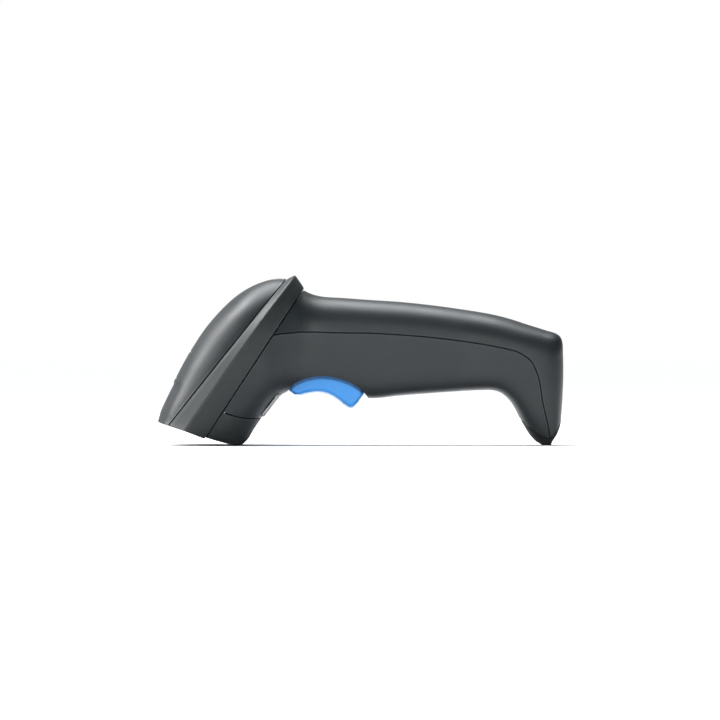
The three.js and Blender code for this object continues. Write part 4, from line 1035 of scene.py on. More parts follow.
def hood_lip():
    """The hood's tongue under its joint with the bumper band, from the bezel over the crest and down."""
    past = (-1.6, -0.9, -0.2, 0.6, 1.4)
    ends = 20

    def face(insets):
        lines = [band_edge(moved(HOOD_LINE, k), -inset)[ends:-ends] for k, inset in zip(past, insets)]
        return np.stack(lines, 1)

    near = (LIP["root"],) * 2 + (LIP["near"],) * 3
    return wall("Lip", face(near), face((LIP["far"],) * 5), 0.05, 1)


def stepped(outer):
    """The hood's skin with a shallow step below the badge, which fades out on the flanks."""
    low = STEP["z"] - STEP["slope"] * (outer[..., 0] - STEP["x"])
    below = np.clip((low - outer[..., 2]) / STEP["width"] + 0.5, 0, 1)
    flank = np.clip((STEP["to"] - np.abs(outer[..., 1])) / STEP["fade"], 0, 1)
    depth = STEP["depth"] * below * below * (3 - 2 * below) * flank * flank * (3 - 2 * flank)
    normal = unit(np.cross(np.gradient(outer, axis=0), np.gradient(outer, axis=1)))
    middle = outer.reshape(-1, 3).mean(0)
    facing = np.sign(np.sum(normal * (middle - outer), -1, keepdims=True))
    return outer + normal * facing * depth[..., None]


def grounded(outer):
    """The chin's skin, level where it rests on the table."""
    lowest = 0.01
    return np.concatenate([outer[..., :2], np.maximum(outer[..., 2:], lowest)], -1)


def finish_shell(obj, skin, rim, look, node):
    """Shades a shell, marks the wear along its rim, and lets it stand for its node."""
    shade(obj, skin)
    edge_wear(obj, rim)
    finish_piece(obj, "casing", look, finish(look), node)


def build_casing():
    """The hood, the two body shells and the chin guard."""
    hood, skin, rim = shell("hood", 150, 90, hood_place, stepped)
    combine(hood, [hood_lip()], "UNION")
    combine(hood, [badge_plate(GAP), status_block(GAP)])
    finish_shell(hood, skin, rim, "shell", "hood_shell")

    upper, skin, rim = shell("upper_shell", 190, 80, upper_place)
    combine(upper, [heel_region(SEAM / 2)])
    finish_shell(upper, skin, rim, "shell", "upper_handle")

    lower, skin, rim = shell("lower_shell", 220, 100, body_place)
    cutters = [trigger_slot(), heel_region(SEAM / 2), label_slab(GAP), *screw_bores()]
    combine(lower, [handle_lip(-1), handle_lip(1)], "UNION")
    combine(lower, cutters)
    finish_shell(lower, skin, rim, "shell", "lower_body")

    chin, skin, rim = shell("chin", 44, 100, chin_place, grounded)
    finish_shell(chin, skin, rim, "band", "chin_guard")


def band_edge(line, proud, steps=90):
    """A line of the side view carried round the casing, from side to side of the mouth, and stood proud."""
    end = line_end(line)
    section = Section(end * np.sin(np.linspace(0, np.pi / 2, steps + 1)))
    half = section.point(section.angle(section.crossing(line)))
    half[-1, 1] = 0
    path = np.concatenate([half * (1, -1, 1), half[-2::-1]])
    start, along = line
    normal = np.array((along[1], 0, -along[0]))
    tangent = np.gradient(path, axis=0)
    tangent[0], tangent[-1] = path[1] - path[0], path[-1] - path[-2]
    out = unit(np.cross(tangent, normal))
    return path - out * proud


def build_band():
    """The bumper band, with its front and rear facets."""
    front, rear = moved(HOOD_LINE, SEAM / 2), moved(BODY_LINE, -SEAM / 2)
    outer = [band_edge(front, FRONT_PROUD), band_edge(RIDGE_LINE, RIDGE_PROUD), band_edge(rear, REAR_PROUD)]
    inner = [band_edge(line, -BAND_DEPTH) for line in (front, RIDGE_LINE, rear)]
    crest = settings("scanner_casing").ridge_radius
    band = wall("band", band_profile(*outer, crest), band_profile(*inner, 0.5), 0.35)
    finish_shell(band, Skin(band.data), np.concatenate(outer), "band", "bumper_band")


def band_profile(front, ridge, rear, reach):
    """Two flat facets that meet in a ridge, which is rounded over this reach to each side."""
    before, after = unit(front - ridge), unit(rear - ridge)
    flat = np.linspace(0, 1, 7)[:-1]
    start, end = ridge + before * reach, ridge + after * reach
    columns = [front + (start - front) * k for k in flat]
    for k in np.linspace(0, 1, 9):
        columns.append(start * (1 - k) ** 2 + ridge * 2 * k * (1 - k) + end * k**2)
    columns += [rear + (end - rear) * k for k in flat[::-1]]
    return np.stack(columns, 1)


SOCKET = {"wall": 1.3, "depth": 11.0, "overlap": 0.3}


def build_heel():
    """The rubber tip of the hook, with a collar that reaches up to the cable's socket."""
    low, high = (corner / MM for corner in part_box("cable_jack"))
    middle, length, width = (low + high) / 2, high.x - low.x, high.y - low.y
    boot = hull("boot", 0.0, BOOT_START, HEEL, 144, 160)
    skin = Skin(boot.data)
    collar = box("Collar", (length, width, low.z), (middle.x, 0, low.z / 2 - SOCKET["overlap"]))
    combine(collar, [hull("Inside", WALL + GAP, BOOT_START, HEEL, 96, 60)], "INTERSECT")
    combine(boot, [heel_region(-SEAM / 2)], "INTERSECT")
    tongue = hull("Tongue", TONGUE["inset"], BOOT_START, HEEL, 120, 120)
    combine(tongue, [heel_region(TONGUE["high"])], "INTERSECT")
    combine(boot, [collar, tongue], "UNION")
    size = (length - 2 * SOCKET["wall"], width - 2 * SOCKET["wall"], 60)
    plug = box("Plug room", size, (middle.x, 0, low.z - size[2] / 2 + SOCKET["depth"]))
    ground = box("Ground", (300, 100, 20), (0, 0, -10))
    combine(boot, [plug, ground])
    shade(boot, skin)
    # The rubber is painted lighter along its joint with the shells: partly wear, partly a painted highlight.
    edge_wear(boot, heel_rim())
    finish_piece(boot, "casing", "rubber", finish("rubber"), "heel_boot")


def heel_rim():
    """Points all over the boot's joint with the shells, near which the rubber is painted lighter: partly
    wear, partly a painted highlight along its upper edge.
    """
    return [(x, y, z) for x, z in heel_line(60) for y in np.linspace(-14, 14, 29)]


# ---- Trigger -------------------------------------------------------------------------------------

PAD = [(-27.3, 21.2), (-24.6, 21.0), (-21.2, 21.7), (-18.0, 22.1), (-14.7, 21.7), (-11.6, 20.4), (-8.6, 18.4),
       (-6.2, 16.4), (-4.3, 15.5), (-2.5, 16.0), (-0.9, 17.9)]
TRIGGER_TOP = [(1.0, 25.2), (-4.2, 28.8), (-10.5, 30.7), (-17.0, 31.2), (-22.4, 30.4)]


def trigger_body():
    """The finger pad and its back, rounded over at both sides and slightly crowned across."""
    radius, crown, eye_radius = 1.7, 0.8, 2.1
    pad = spline(PAD, np.linspace(0, 1, 90))
    back = spline(TRIGGER_TOP, np.linspace(0, 1, 24))
    turn = np.linspace(0.45, 1.08, 9) * math.pi
    eye = PIVOT + eye_radius * np.stack([np.cos(turn), np.sin(turn)], 1)
    outline = np.array([SLOT_FRONT, *pad, SLOT_REAR, (1.6, 24.4), *back, *eye])
    on_pad = np.zeros(len(outline))
    from_front = np.arange(len(pad))
    on_pad[1 : 1 + len(pad)] = np.minimum(1, np.minimum(from_front, from_front[::-1]) / 12)
    ahead, behind = np.roll(outline, -1, 0), np.roll(outline, 1, 0)
    normal = unit(unit(ahead - outline) + unit(outline - behind))
    inward = np.stack([-normal[:, 1], normal[:, 0]], 1)
    if cross2(outline, np.roll(outline, -1, 0)).sum() < 0:
        inward = -inward
    rising = TRIGGER_HALF - radius * (1 - np.cos(np.linspace(0, np.pi / 2, 9)))
    stations = np.concatenate([rising, np.linspace(rising[-1], -rising[-1], 15)[1:-1], -rising[::-1]])
    rows = []
    for y in stations:
        past = max(abs(y) - (TRIGGER_HALF - radius), 0) / radius
        drop = radius * (1 - math.sqrt(max(1 - past**2, 0)))
        drop = drop + crown * on_pad[:, None] * (abs(y) / TRIGGER_HALF) ** 2
        flat = outline + inward * drop
        rows.append(np.stack([flat[:, 0], np.full(len(flat), y), flat[:, 1]], 1))
    return loft("trigger_pad", rows)


def scored(obj, step):
    """Cuts an object's faces along planes a step apart, so that what its points store has room to change."""
    bm = bmesh.new()
    bm.from_mesh(obj.data)
    for axis in (0, 2):
        places = [v.co[axis] for v in bm.verts]
        for place in np.arange(min(places) + step * MM / 2, max(places), step * MM):
            at, normal = Vector(), Vector()
            at[axis], normal[axis] = place, 1
            everything = bm.verts[:] + bm.edges[:] + bm.faces[:]
            bmesh.ops.bisect_plane(bm, geom=everything, plane_co=at, plane_no=normal)
    bm.to_mesh(obj.data)
    bm.free()
    return obj


def trigger_rim():
    """Points along the trigger's side edges: its pad, the slot's arch, and the corners between the two, for
    its wear, its painted shade and the arch's painted shadow.
    """
    arch = spline(ARCH, np.linspace(0, 1, 90)) - (0, RIM_DROP)
    corners = (arch[0], SLOT_FRONT, PAD[0]), (arch[-1], SLOT_REAR, PAD[-1])
    ends = [np.linspace(a, b, 12) for corner in corners for a, b in zip(corner, corner[1:])]
    line = np.concatenate([spline(PAD, np.linspace(0, 1, 90)), arch, *ends])
    return [(x, side * TRIGGER_HALF, z) for x, z in line for side in (-1, 1)]


# How far below the slot's arch runs the line along which the trigger is painted dark as the casing's shadow,
# in millimetres.
RIM_DROP = 0.5
CUP = {"radius": 3.2, "depth": 9}
NUB = {"radius": 1.2, "height": 2, "clearance": 0.2}
REST_LIP = {"size": (5.2, TRIGGER_HALF * 1.32, 1.5), "x": 2.0, "top": 24.3}
AXLE_RADIUS = 1.3


def build_trigger():
    """The trigger, with its lip, the nub that presses the switch, the spring's cup and the axle's bore."""
    trigger = trigger_body()
    skin = Skin(trigger.data)
    spring, plunger = ([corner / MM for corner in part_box(node)]
                       for node in ("trigger_spring", "switch_plunger"))
    nub_top = plunger[0].z - NUB["clearance"]
    nub_x = (plunger[0].x + plunger[1].x) / 2
    lip = box("Lip", REST_LIP["size"], (REST_LIP["x"], 0, REST_LIP["top"] - REST_LIP["size"][2] / 2))
    nub = cylinder("Nub", NUB["radius"], nub_top - NUB["height"], nub_top, nub_x)
    combine(trigger, [lip, nub], "UNION")
    floor = spring[0].z
    cup = cylinder("Cup", CUP["radius"], floor - 0.1, floor + CUP["depth"], (spring[0].x + spring[1].x) / 2)
    place = Matrix.Translation((PIVOT[0] * MM, 0, PIVOT[1] * MM)) @ Matrix.Rotation(math.pi / 2, 4, "X")
    axle = turned("Bore", [(AXLE_RADIUS, -30), (AXLE_RADIUS, 30)], 40, place)
    shade(scored(combine(trigger, [cup, axle]), 0.9), skin)
    # Wear and painted shade along the trigger's edges, and a painted shadow under the slot's arch.
    edge_wear(trigger, trigger_rim())
    finish_piece(trigger, "trigger", "trigger", finish("trigger"), "trigger")


# ---- Fittings of the casing ----------------------------------------------------------------------

# The badge runs between two sections, to this angle each side. A section is about 8 mm and a radian 30 mm.
BADGE = {"from": 4.1, "to": 5.0, "angle": 0.3, "depth": 0.7, "section": 8, "turn": 30}


def badge_plate(gap=0.0):
    """The badge's plate, or with a gap the room for it."""
    first = BADGE["from"] - gap / BADGE["section"]
    span = BADGE["to"] - BADGE["from"] + 2 * gap / BADGE["section"]
    reach = BADGE["angle"] + gap / BADGE["turn"]

    def place(r, c, inset):
        return first + r * span, lambda section: c * reach

    outer = skin_grid(40, 50, -1.0 if gap else 0.0, place)
    inner = skin_grid(40, 50, BADGE["depth"] + gap, place)
    return wall("hood_badge_plate", outer, inner, 0.01 if gap else 0.15)


def status_block(gap=0.0):
    """The lens of the status light before it is trimmed to the hood's crest, with rounded corners."""
    low, high = (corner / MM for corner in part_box("status_light_pipe"))
    depth, above, corner = 3.4, 3.0, 0.9
    size = (high.x - low.x + 2 * gap, high.y - low.y + 2 * gap, depth + 2 * above)
    centre = ((low.x + high.x) / 2, 0, high.z + above - depth / 2 + 0.05)
    ring = []
    for turn, (sx, sy) in enumerate(((1, 1), (-1, 1), (-1, -1), (1, -1))):
        for a in np.linspace(turn, turn + 1, 7) * np.pi / 2:
            ring.append((centre[0] + sx * (size[0] / 2 - corner) + corner * math.cos(a),
                         centre[1] + sy * (size[1] / 2 - corner) + corner * math.sin(a)))
    return loft("status_lens", [[(x, y, centre[2] + h * size[2] / 2) for x, y in ring] for h in (-1, 1)])


def build_fittings():
    """The label on the neck, the badge on the hood and the lens of the status light."""
    label = rounded(label_slab(), 0.2)
    shade(label, None, 30)
    finish_piece(label, "casing", "label", finish("label"), "neck_label")

    badge = badge_plate()
    shade(badge, Skin(badge.data))
    finish_piece(badge, "casing", "badge", finish("badge"), "hood_badge")

    lens = combine(status_block(), [hull("Crest", 0.0, 6, 11, 160, 120)], "INTERSECT")
    low, high = (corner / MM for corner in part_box("status_light_pipe"))
    stem = cylinder("Stem", 1.1, low.z, high.z - 1.5, (low.x + high.x) / 2)
    shade(combine(lens, [stem], "UNION"), None, 30)
    finish_piece(lens, "casing", "clear", finish("clear"), "status_light_pipe")


# ---- Nose ----------------------------------------------------------------------------------------

WINDOW_SECTION = 1.1
WINDOW_THICKNESS = 2.0
WINDOW_LEDGE = 1.0
BEZEL_WALL = 2.6
GASKET = {"from": WINDOW_THICKNESS + 0.2, "to": WINDOW_THICKNESS + 1.4, "width": 2}


def section_plate(name, s, inset, near, far, around=160):
    """A flat plate in the plane of one section, from one depth to another behind it."""
    section = Section(np.full(around, s), inset)
    ring = section.point(np.linspace(-np.pi, np.pi, around, endpoint=False))
    across = unit(section.lower[0] - section.upper[0])
    inward = np.array((-across[1], 0, across[0]))
    return loft(name, [ring + inward * d for d in (near, far)])


def build_nose():
    """The bezel in the mouth, the filter window and its gasket."""
    inset = WALL + GAP
    ledge = inset + WINDOW_LEDGE
    bezel = hull("bezel", inset, 0.12, 3, 160, 40)
    cutters = [hull("Bore", inset + BEZEL_WALL, 0, 3.3, 160, 40),
               section_plate("Front", WINDOW_SECTION, ledge - GAP, -GAP, LENGTH / 4)]
    shade(combine(bezel, cutters), None, 35)
    finish_piece(bezel, "casing", "black_plastic", finish("black_plastic"), "window_bezel")

    window = section_plate("window_glass", WINDOW_SECTION, ledge + 0.1, 0, WINDOW_THICKNESS)
    shade(rounded(window, 0.25), None, 30)
    finish_piece(window, "casing", "window", finish("window"), "exit_window")

    near, far = GASKET["from"], GASKET["to"]
    gasket = section_plate("gasket", WINDOW_SECTION, ledge + GAP, near, far)
    combine(gasket, [section_plate("Hole", WINDOW_SECTION, ledge + GAP + GASKET["width"], near - 1, far + 1)])
    shade(rounded(gasket, 0.2), None, 35)
    finish_piece(gasket, "casing", "foam", finish("foam"), "window_gasket")


# ---- What repeats, made by Geometry Nodes --------------------------------------------------------


class Tree:
    """A Geometry Nodes tree with named inputs for its sizes, and the calls that build such trees."""

    def __init__(self, name, **sizes):
        self.group = bpy.data.node_groups.new(name, "GeometryNodeTree")
        self.start = self.group.nodes.new("NodeGroupInput")
        self.values = {}
        for label, value in sizes.items():
            kind = "NodeSocketInt" if isinstance(value, int) else "NodeSocketFloat"
            title = label.replace("_", " ").capitalize()
            socket = self.group.interface.new_socket(title, socket_type=kind)
            self.values[socket.identifier] = value
        self.sizes = dict(zip(sizes, self.start.outputs))

    def put(self, socket, value):
        if isinstance(value, bpy.types.NodeSocket):
            self.group.links.new(value, socket)
        else:
            socket.default_value = value

    def node(self, kind, sockets=None, **properties):
        """A node's first output, with its inputs linked or set by name."""
        node = self.group.nodes.new(kind)
        for name, value in properties.items():
            setattr(node, name, value)
        for name, value in (sockets or {}).items():
            self.put(node.inputs[name], value)
        return node.outputs[0]

    def math(self, operation, a, b):
        node = self.group.nodes.new("ShaderNodeMath")
        node.operation = operation
        self.put(node.inputs[0], a)
        self.put(node.inputs[1], b)
        return node.outputs[0]

    def vector(self, x=0.0, y=0.0, z=0.0):
        return self.node("ShaderNodeCombineXYZ", {"X": x, "Y": y, "Z": z})

    def placed(self, geometry, place=(0, 0, 0), turn=(0, 0, 0)):
        sockets = {"Geometry": geometry, "Translation": place, "Rotation": turn}
        return self.node("GeometryNodeTransform", sockets)

    def joined(self, *parts):
        node = self.group.nodes.new("GeometryNodeJoinGeometry")
        for part in parts:
            self.group.links.new(part, node.inputs[0])
        return node.outputs[0]

    def cylinder(self, radius, low, high, sides=32, top=None):
        """A cylinder, or with a top radius a cone, along z between two heights."""
        sizes = {"Vertices": sides, "Depth": self.math("SUBTRACT", high, low), "Radius Bottom": radius,
                 "Radius Top": radius if top is None else top}
        return self.placed(self.node("GeometryNodeMeshCone", sizes), self.vector(z=low))

    def block(self, x, y, z):
        return self.node("GeometryNodeMeshCube", {"Size": self.vector(x, y, z)})

    def wire(self, curve, radius, sides=8):
        """A closed wire round a curve."""
        circle = self.node("GeometryNodeCurvePrimitiveCircle", {"Resolution": sides, "Radius": radius})
        sockets = {"Curve": curve, "Profile Curve": circle, "Fill Caps": True}
        return self.node("GeometryNodeCurveToMesh", sockets)

    def coil(self, radius, turns, height, resolution):
        return self.node("GeometryNodeCurveSpiral", {
            "Resolution": resolution, "Rotations": turns, "Start Radius": radius, "End Radius": radius,
            "Height": height})

    def cut(self, shape, tools):
        """A shape with others cut out of it."""
        boolean = self.group.nodes.new("GeometryNodeMeshBoolean")
        boolean.operation = "DIFFERENCE"
        boolean.solver = "MANIFOLD"
        self.group.links.new(shape, boolean.inputs["Mesh 1"])
        for tool in tools:
            self.group.links.new(tool, boolean.inputs["Mesh 2"])
        return boolean.outputs[0]

    def row(self, shape, count, offset, start=(0, 0, 0)):
        """Copies of a shape along a straight line."""
        sockets = {"Count": count, "Start Location": start, "Offset": offset}
        points = self.node("GeometryNodeMeshLine", sockets)
        return self.node("GeometryNodeInstanceOnPoints", {"Points": points, "Instance": shape})

    def make(self, name, slot, look, geometry, *nodes):
        """The finished piece of the casing, as a plain mesh."""
        material = finish(look)
        real = self.node("GeometryNodeRealizeInstances", {"Geometry": geometry})
        painted = self.node("GeometryNodeSetMaterial", {"Geometry": real, "Material": material})
        self.group.interface.new_socket("Geometry", in_out="OUTPUT", socket_type="NodeSocketGeometry")
        end = self.group.nodes.new("NodeGroupOutput")
        self.group.links.new(painted, end.inputs[0])
        obj = bpy.data.objects.new(name, bpy.data.meshes.new(name))
        bpy.context.scene.collection.objects.link(obj)
        modifier = obj.modifiers.new(self.group.name, "NODES")
        modifier.node_group = self.group
        for identifier, value in self.values.items():
            modifier[identifier] = value
        return finish_piece(shade(bake(obj), None, 35), "casing", slot, material, *nodes)


HEAD_TILT = math.atan2(RIDGE_LINE[1][1], RIDGE_LINE[1][0])
HEAD_SCREW_TIP = 0.3
RECESS = (2.6 * MM, 0.6 * MM, 1.5 * MM)


def screw_shape(tree, long):
    """A pan-head screw along z, with a cross recess, a thread and a point; its seat is at the origin."""
    size = tree.sizes
    edge = tree.math("MULTIPLY", size["head_height"], -0.6)
    crown = tree.math("MULTIPLY", size["head_height"], -1.0)
    face = tree.math("MULTIPLY", size["head_radius"], 0.75)
    across, along, deep = RECESS
    recess = [tree.placed(tree.block(*sides, deep), tree.vector(z=crown))
              for sides in ((across, along), (along, across))]
    rim = tree.cut(tree.cylinder(size["head_radius"], edge, 0.0), recess)
    dome = tree.cut(tree.cylinder(face, crown, edge, top=size["head_radius"]), recess)
    neck, point = long - SCREW["point"] * MM, SCREW["tip"] * MM
    shank = tree.cylinder(size["core_radius"], -0.1 * MM, neck, 24)
    tip = tree.cylinder(size["core_radius"], neck, long, 24, top=point)
    spiral = tree.coil(size["core_radius"], size["turns"], neck - 1.4 * MM, 24)
    thread = tree.placed(tree.wire(spiral, size["thread_radius"], 4), (0, 0, 1.0 * MM))
    return tree.joined(rim, dome, shank, tip, thread)


def build_screws():
    """Two pairs of pan-head screws: up the handle, and up into the hood along the head's tilt."""
    tree = Tree("Screws", core_radius=SCREW["core"] * MM, thread_radius=SCREW["thread"] * MM,
                head_radius=SCREW["head"] * MM, head_height=SCREW["head_height"] * MM,
                turns=settings("scanner_fittings").screw_turns)
    head, head_height = SCREW["head"] * MM, SCREW["head_height"] * MM

    (low, high), (next_low, _) = (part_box(node) for node in HANDLE_SCREWS)
    shape = screw_shape(tree, high.z - low.z - head_height)
    start = ((low.x + high.x) / 2, 0, low.z + head_height)
    handle = tree.row(shape, 2, (next_low.x - low.x, 0, 0), start)

    (low, high), (next_low, _) = (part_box(node) for node in HEAD_SCREWS)
    out = Vector((-math.sin(HEAD_TILT), 0, math.cos(HEAD_TILT)))
    overhang = (head + HEAD_SCREW_TIP * MM) * math.sin(HEAD_TILT)
    shape = screw_shape(tree, (high.z - low.z - overhang) / out.z - head_height)
    pair = tree.row(shape, 2, (0, next_low.y - low.y, 0))
    foot = Vector((high.x - head * out.z, (low.y + high.y) / 2, low.z - head * out.x))
    hood = tree.placed(pair, tuple(foot + out * head_height), (0, -HEAD_TILT, 0))
    tree.make("screws", "steel", "steel", tree.joined(handle, hood), *HANDLE_SCREWS, *HEAD_SCREWS)


def build_spring():
    """The trigger's return spring, whose end turns lie flat."""
    low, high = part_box("trigger_spring")
    middle, wire = (low + high) / 2, 0.3 * MM
    tree = Tree("Return spring", coil_radius=(high.x - low.x) / 2 - wire, wire_radius=wire,
                height=high.z - low.z - 2 * wire, turns=settings("scanner_fittings").spring_turns)
    size = tree.sizes
    spiral = tree.coil(size["coil_radius"], size["turns"], size["height"], 32)
    flat = tree.node("GeometryNodeCurvePrimitiveCircle", {"Resolution": 40, "Radius": size["coil_radius"]})
    turn = tree.wire(flat, size["wire_radius"])
    coil = tree.joined(tree.wire(spiral, size["wire_radius"]), turn,
                       tree.placed(turn, tree.vector(z=size["height"])))
    place = tree.placed(coil, (middle.x, middle.y, low.z + wire))
    spring = tree.make("return_spring", "steel", "steel", place, "trigger_spring")
    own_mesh(spring)


def build_contacts():
    """The row of sprung contacts in the cable's socket."""
    low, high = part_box("cable_jack")
    tree = Tree("Socket contacts", contacts=settings("scanner_fittings").contacts, pitch=1.02 * MM,
                wire_radius=0.17 * MM)
    size = tree.sizes
    wall_x, mouth, top = low.x + SOCKET["wall"] * MM, low.z + 2 * MM, high.z - 1.5 * MM
    bent = tree.node("GeometryNodeCurvePrimitiveBezierSegment", {
        "Resolution": 12, "Start": (wall_x + 0.3 * MM, 0, top),
        "Start Handle": (wall_x + 0.2 * MM, 0, mouth - 4 * MM),
        "End Handle": (wall_x + 0.6 * MM, 0, mouth), "End": (wall_x + 2.0 * MM, 0, top - 4 * MM)})
    span = tree.math("MULTIPLY", tree.math("SUBTRACT", size["contacts"], 1), size["pitch"])
    row = tree.row(tree.wire(bent, size["wire_radius"]), size["contacts"], tree.vector(y=size["pitch"]),
                   tree.vector(y=tree.math("MULTIPLY", span, -0.5)))
    tree.make("socket_contacts", "steel", "gold", row)


LEG = {"pitch": 0.8 * MM, "width": 0.36 * MM, "reach": 0.9 * MM, "thickness": 0.16 * MM, "height": 0.62 * MM}
LEG_SIDES = {"processor": (0, 1, 2, 3), "memory_chip": (1, 3)}


def build_legs():
    """The legs along the sides of the two large chips."""
    tree = Tree("Chip legs", pitch=LEG["pitch"], leg_width=LEG["width"], leg_reach=LEG["reach"])
    size = tree.sizes
    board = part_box("main_board")[1].z
    foot = tree.block(size["leg_width"], size["leg_reach"], LEG["thickness"])
    post = tree.block(size["leg_width"], LEG["thickness"], LEG["height"])
    leg = tree.joined(foot, tree.placed(post, (0, 0.3 * MM, 0.24 * MM)))
    parts = []
    for node, quarters in LEG_SIDES.items():
        low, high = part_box(node)
        middle, spans = (low + high) / 2, (high.x - low.x, high.y - low.y)
        for quarter in quarters:
            along, across = spans if quarter % 2 == 0 else spans[::-1]
            count = int((along - 1.0 * MM) / LEG["pitch"])
            start = (-(count - 1) * LEG["pitch"] / 2, -across / 2 - 0.5 * MM, 0)
            row = tree.row(leg, count, tree.vector(x=size["pitch"]), start)
            turn = (0, 0, quarter * math.pi / 2)
            parts.append(tree.placed(row, (middle.x, middle.y, board + 0.1 * MM), turn))
    tree.make("chip_legs", "steel", "steel", tree.joined(*parts))


ON_BOARD = ("processor", "memory_chip", "beeper", "board_connector", "cable_connector", "status_led")


def build_small_parts():
    """Small surface-mounted parts scattered over the main board, clear of everything else on it."""
    low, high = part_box("main_board")
    tree = Tree("Small parts", spacing=2.3 * MM, part_length=1.1 * MM, part_width=0.6 * MM,
                seed=settings("scanner_fittings").board_seed)
    size = tree.sizes
    margin, clearance = 1.6 * MM, 2.2 * MM
    sheet = tree.node("GeometryNodeMeshGrid", {
        "Size X": high.x - low.x - 2 * margin, "Size Y": high.y - low.y - 2 * margin,
        "Vertices X": 2, "Vertices Y": 2})
    sheet = tree.placed(sheet, ((low.x + high.x) / 2, (low.y + high.y) / 2, high.z))
    points = tree.node("GeometryNodeDistributePointsOnFaces", {
        "Mesh": sheet, "Distance Min": size["spacing"], "Density Max": 400000.0, "Seed": size["seed"]},
        distribute_method="POISSON")
    others = []
    for node in ON_BOARD + HANDLE_SCREWS:
        info = tree.group.nodes.new("GeometryNodeObjectInfo")
        info.inputs["Object"].default_value = NODES[node]
        others.append(info.outputs["Geometry"])
    near = tree.group.nodes.new("GeometryNodeProximity")
    near.target_element = "FACES"
    tree.group.links.new(tree.joined(*others), near.inputs[0])
    clear = tree.node("FunctionNodeCompare", {"A": near.outputs["Distance"], "B": clearance},
                      operation="GREATER_THAN")
    body = tree.block(size["part_length"], size["part_width"], 0.5 * MM)
    cap = tree.block(0.2 * MM, 0.66 * MM, 0.54 * MM)
    caps = [tree.placed(cap, (side * 0.5 * MM, 0, 0)) for side in (-1, 1)]
    part = tree.placed(tree.joined(body, *caps), (0, 0, 0.3 * MM))
    quarter = tree.node("FunctionNodeRandomValue", {"Seed": size["seed"]}, data_type="INT")
    turn = tree.vector(z=tree.math("MULTIPLY", quarter, math.pi / 2))
    scattered = tree.node("GeometryNodeInstanceOnPoints", {
        "Points": points, "Selection": clear, "Instance": part, "Rotation": turn})
    tree.make("small_parts", "ceramic", "ceramic", scattered)


# ---- Finishes of the inner pieces ----------------------------------------------------------------

NODE_FINISH = {
    "black_plastic": ("optical_chassis", "lens_barrel", "sensor_connector", "switch_bracket",
                      "trigger_switch", "board_connector", "cable_connector", "beeper", "cable_jack"),
    "clear": ("lens_glass",) + tuple("lamp_%d" % (i + 1) for i in range(6)),
    "steel": ("trigger_pin",),
    "board": ("sensor_board", "lamp_board", "main_board"),
    "chip": ("processor", "memory_chip"),
    "ceramic": ("line_sensor", "switch_plunger", "status_led"),
    "mirror": ("fold_mirror",),
    "ribbon": ("sensor_ribbon", "jack_ribbon"),
}


def finish_inner_pieces():
    """Gives the CAD nodes that stay their finishes."""
    for name, nodes in NODE_FINISH.items():
        for node in nodes:
            NODES[node].data.materials.clear()
            NODES[node].data.materials.append(finish(name))


# ---- Stage ---------------------------------------------------------------------------------------

# Each soft box: azimuth and elevation in degrees, distance and size in metres, share of the side light.
SOFT_BOXES = {
    "Right strip": (13, 6, 1.6, (0.12, 0.7), 4),
    "Left strip": (-112, 44, 1.6, (0.32, 1.5), 6),
    "Left box": (-66, 30, 1.6, (1.4, 1.2), 0.75),
    "Front box": (-10, 20, 2.0, (1.6, 0.35), 0.7),
    "Back box": (160, 66, 2.0, (1.4, 0.5), 0.8),
}
CEILING_TURN = (-20, -6, 0)
CEILING_COLOR = (0.955, 0.98, 1.0)

# The surround's light is tinted, and falls off to the right, between two values of a direction's x.
SURROUND_TINT = (0.95, 0.98, 1.0, 1)
SURROUND_FALL = {"from": (-0.2, 0.6), "to": (1.0, 0.25)}
FLOOR_HALF = 60


def soft_box(name, azimuth, elevation, distance, size, radiance):
    """A rectangular studio light that faces the scanner, placed by its angles from the camera's side."""
    light = bpy.data.lights.new(name, "AREA")
    light.shape = "RECTANGLE"
    light.size, light.size_y = size
    light.energy = radiance * math.pi * size[0] * size[1]
    around, up = math.radians(azimuth), math.radians(elevation)
    middle = Vector((0, 0, HEIGHT * MM / 2))
    aside = Vector((math.sin(around) * math.cos(up), -math.cos(around) * math.cos(up), math.sin(up)))
    obj = bpy.data.objects.new(name, light)
    obj.location = middle + aside * distance
    obj.rotation_euler = aside.to_track_quat("Z", "Y").to_euler()
    bpy.context.scene.collection.objects.link(obj)


def build_stage():
    """A pale floor, a white surround, soft lights, and the camera."""
    stage = settings("scanner_stage")
    scene = bpy.context.scene
    middle = Vector((0, 0, HEIGHT * MM / 2))
    camera = bpy.data.cameras.new("Camera")
    camera.sensor_width = 36
    camera.lens = camera.sensor_width * stage.camera_distance / stage.view_width
    camera.clip_end = 100
    obj = bpy.data.objects.new("Camera", camera)
    obj.location = middle - Vector((0, stage.camera_distance, 0))
    obj.rotation_euler = (math.pi / 2, 0, 0)
    scene.collection.objects.link(obj)
    scene.camera = obj

    half = FLOOR_HALF / MM
    floor = mesh_object("floor", [(x * half, y * half, 0) for x, y in ((-1, -1), (1, -1), (1, 1), (-1, 1))],
                        [(0, 1, 2, 3)])
    m = Shader("Floor paint")
    tone = m.ramp(m.noise(400, 2), 0.2, 0.8)
    color = tuple(stage.floor_color)
    floor.data.materials.append(m.set(Base_Color=m.mix(tone, lighter(color, 0.99), color), Roughness=0.8))

    scene.world = surround(stage.surround)
    scene.view_settings.view_transform = "Standard"

    sky = bpy.data.lights.new("Ceiling", "SUN")
    sky.energy = stage.ceiling
    sky.angle = math.radians(stage.ceiling_spread)
    sky.color = CEILING_COLOR
    above = bpy.data.objects.new("Ceiling", sky)
    above.rotation_euler = [math.radians(turn) for turn in CEILING_TURN]
    scene.collection.objects.link(above)
    for name, (azimuth, elevation, distance, size, share) in SOFT_BOXES.items():
        soft_box(name, azimuth, elevation, distance, size, stage.side_light * share)


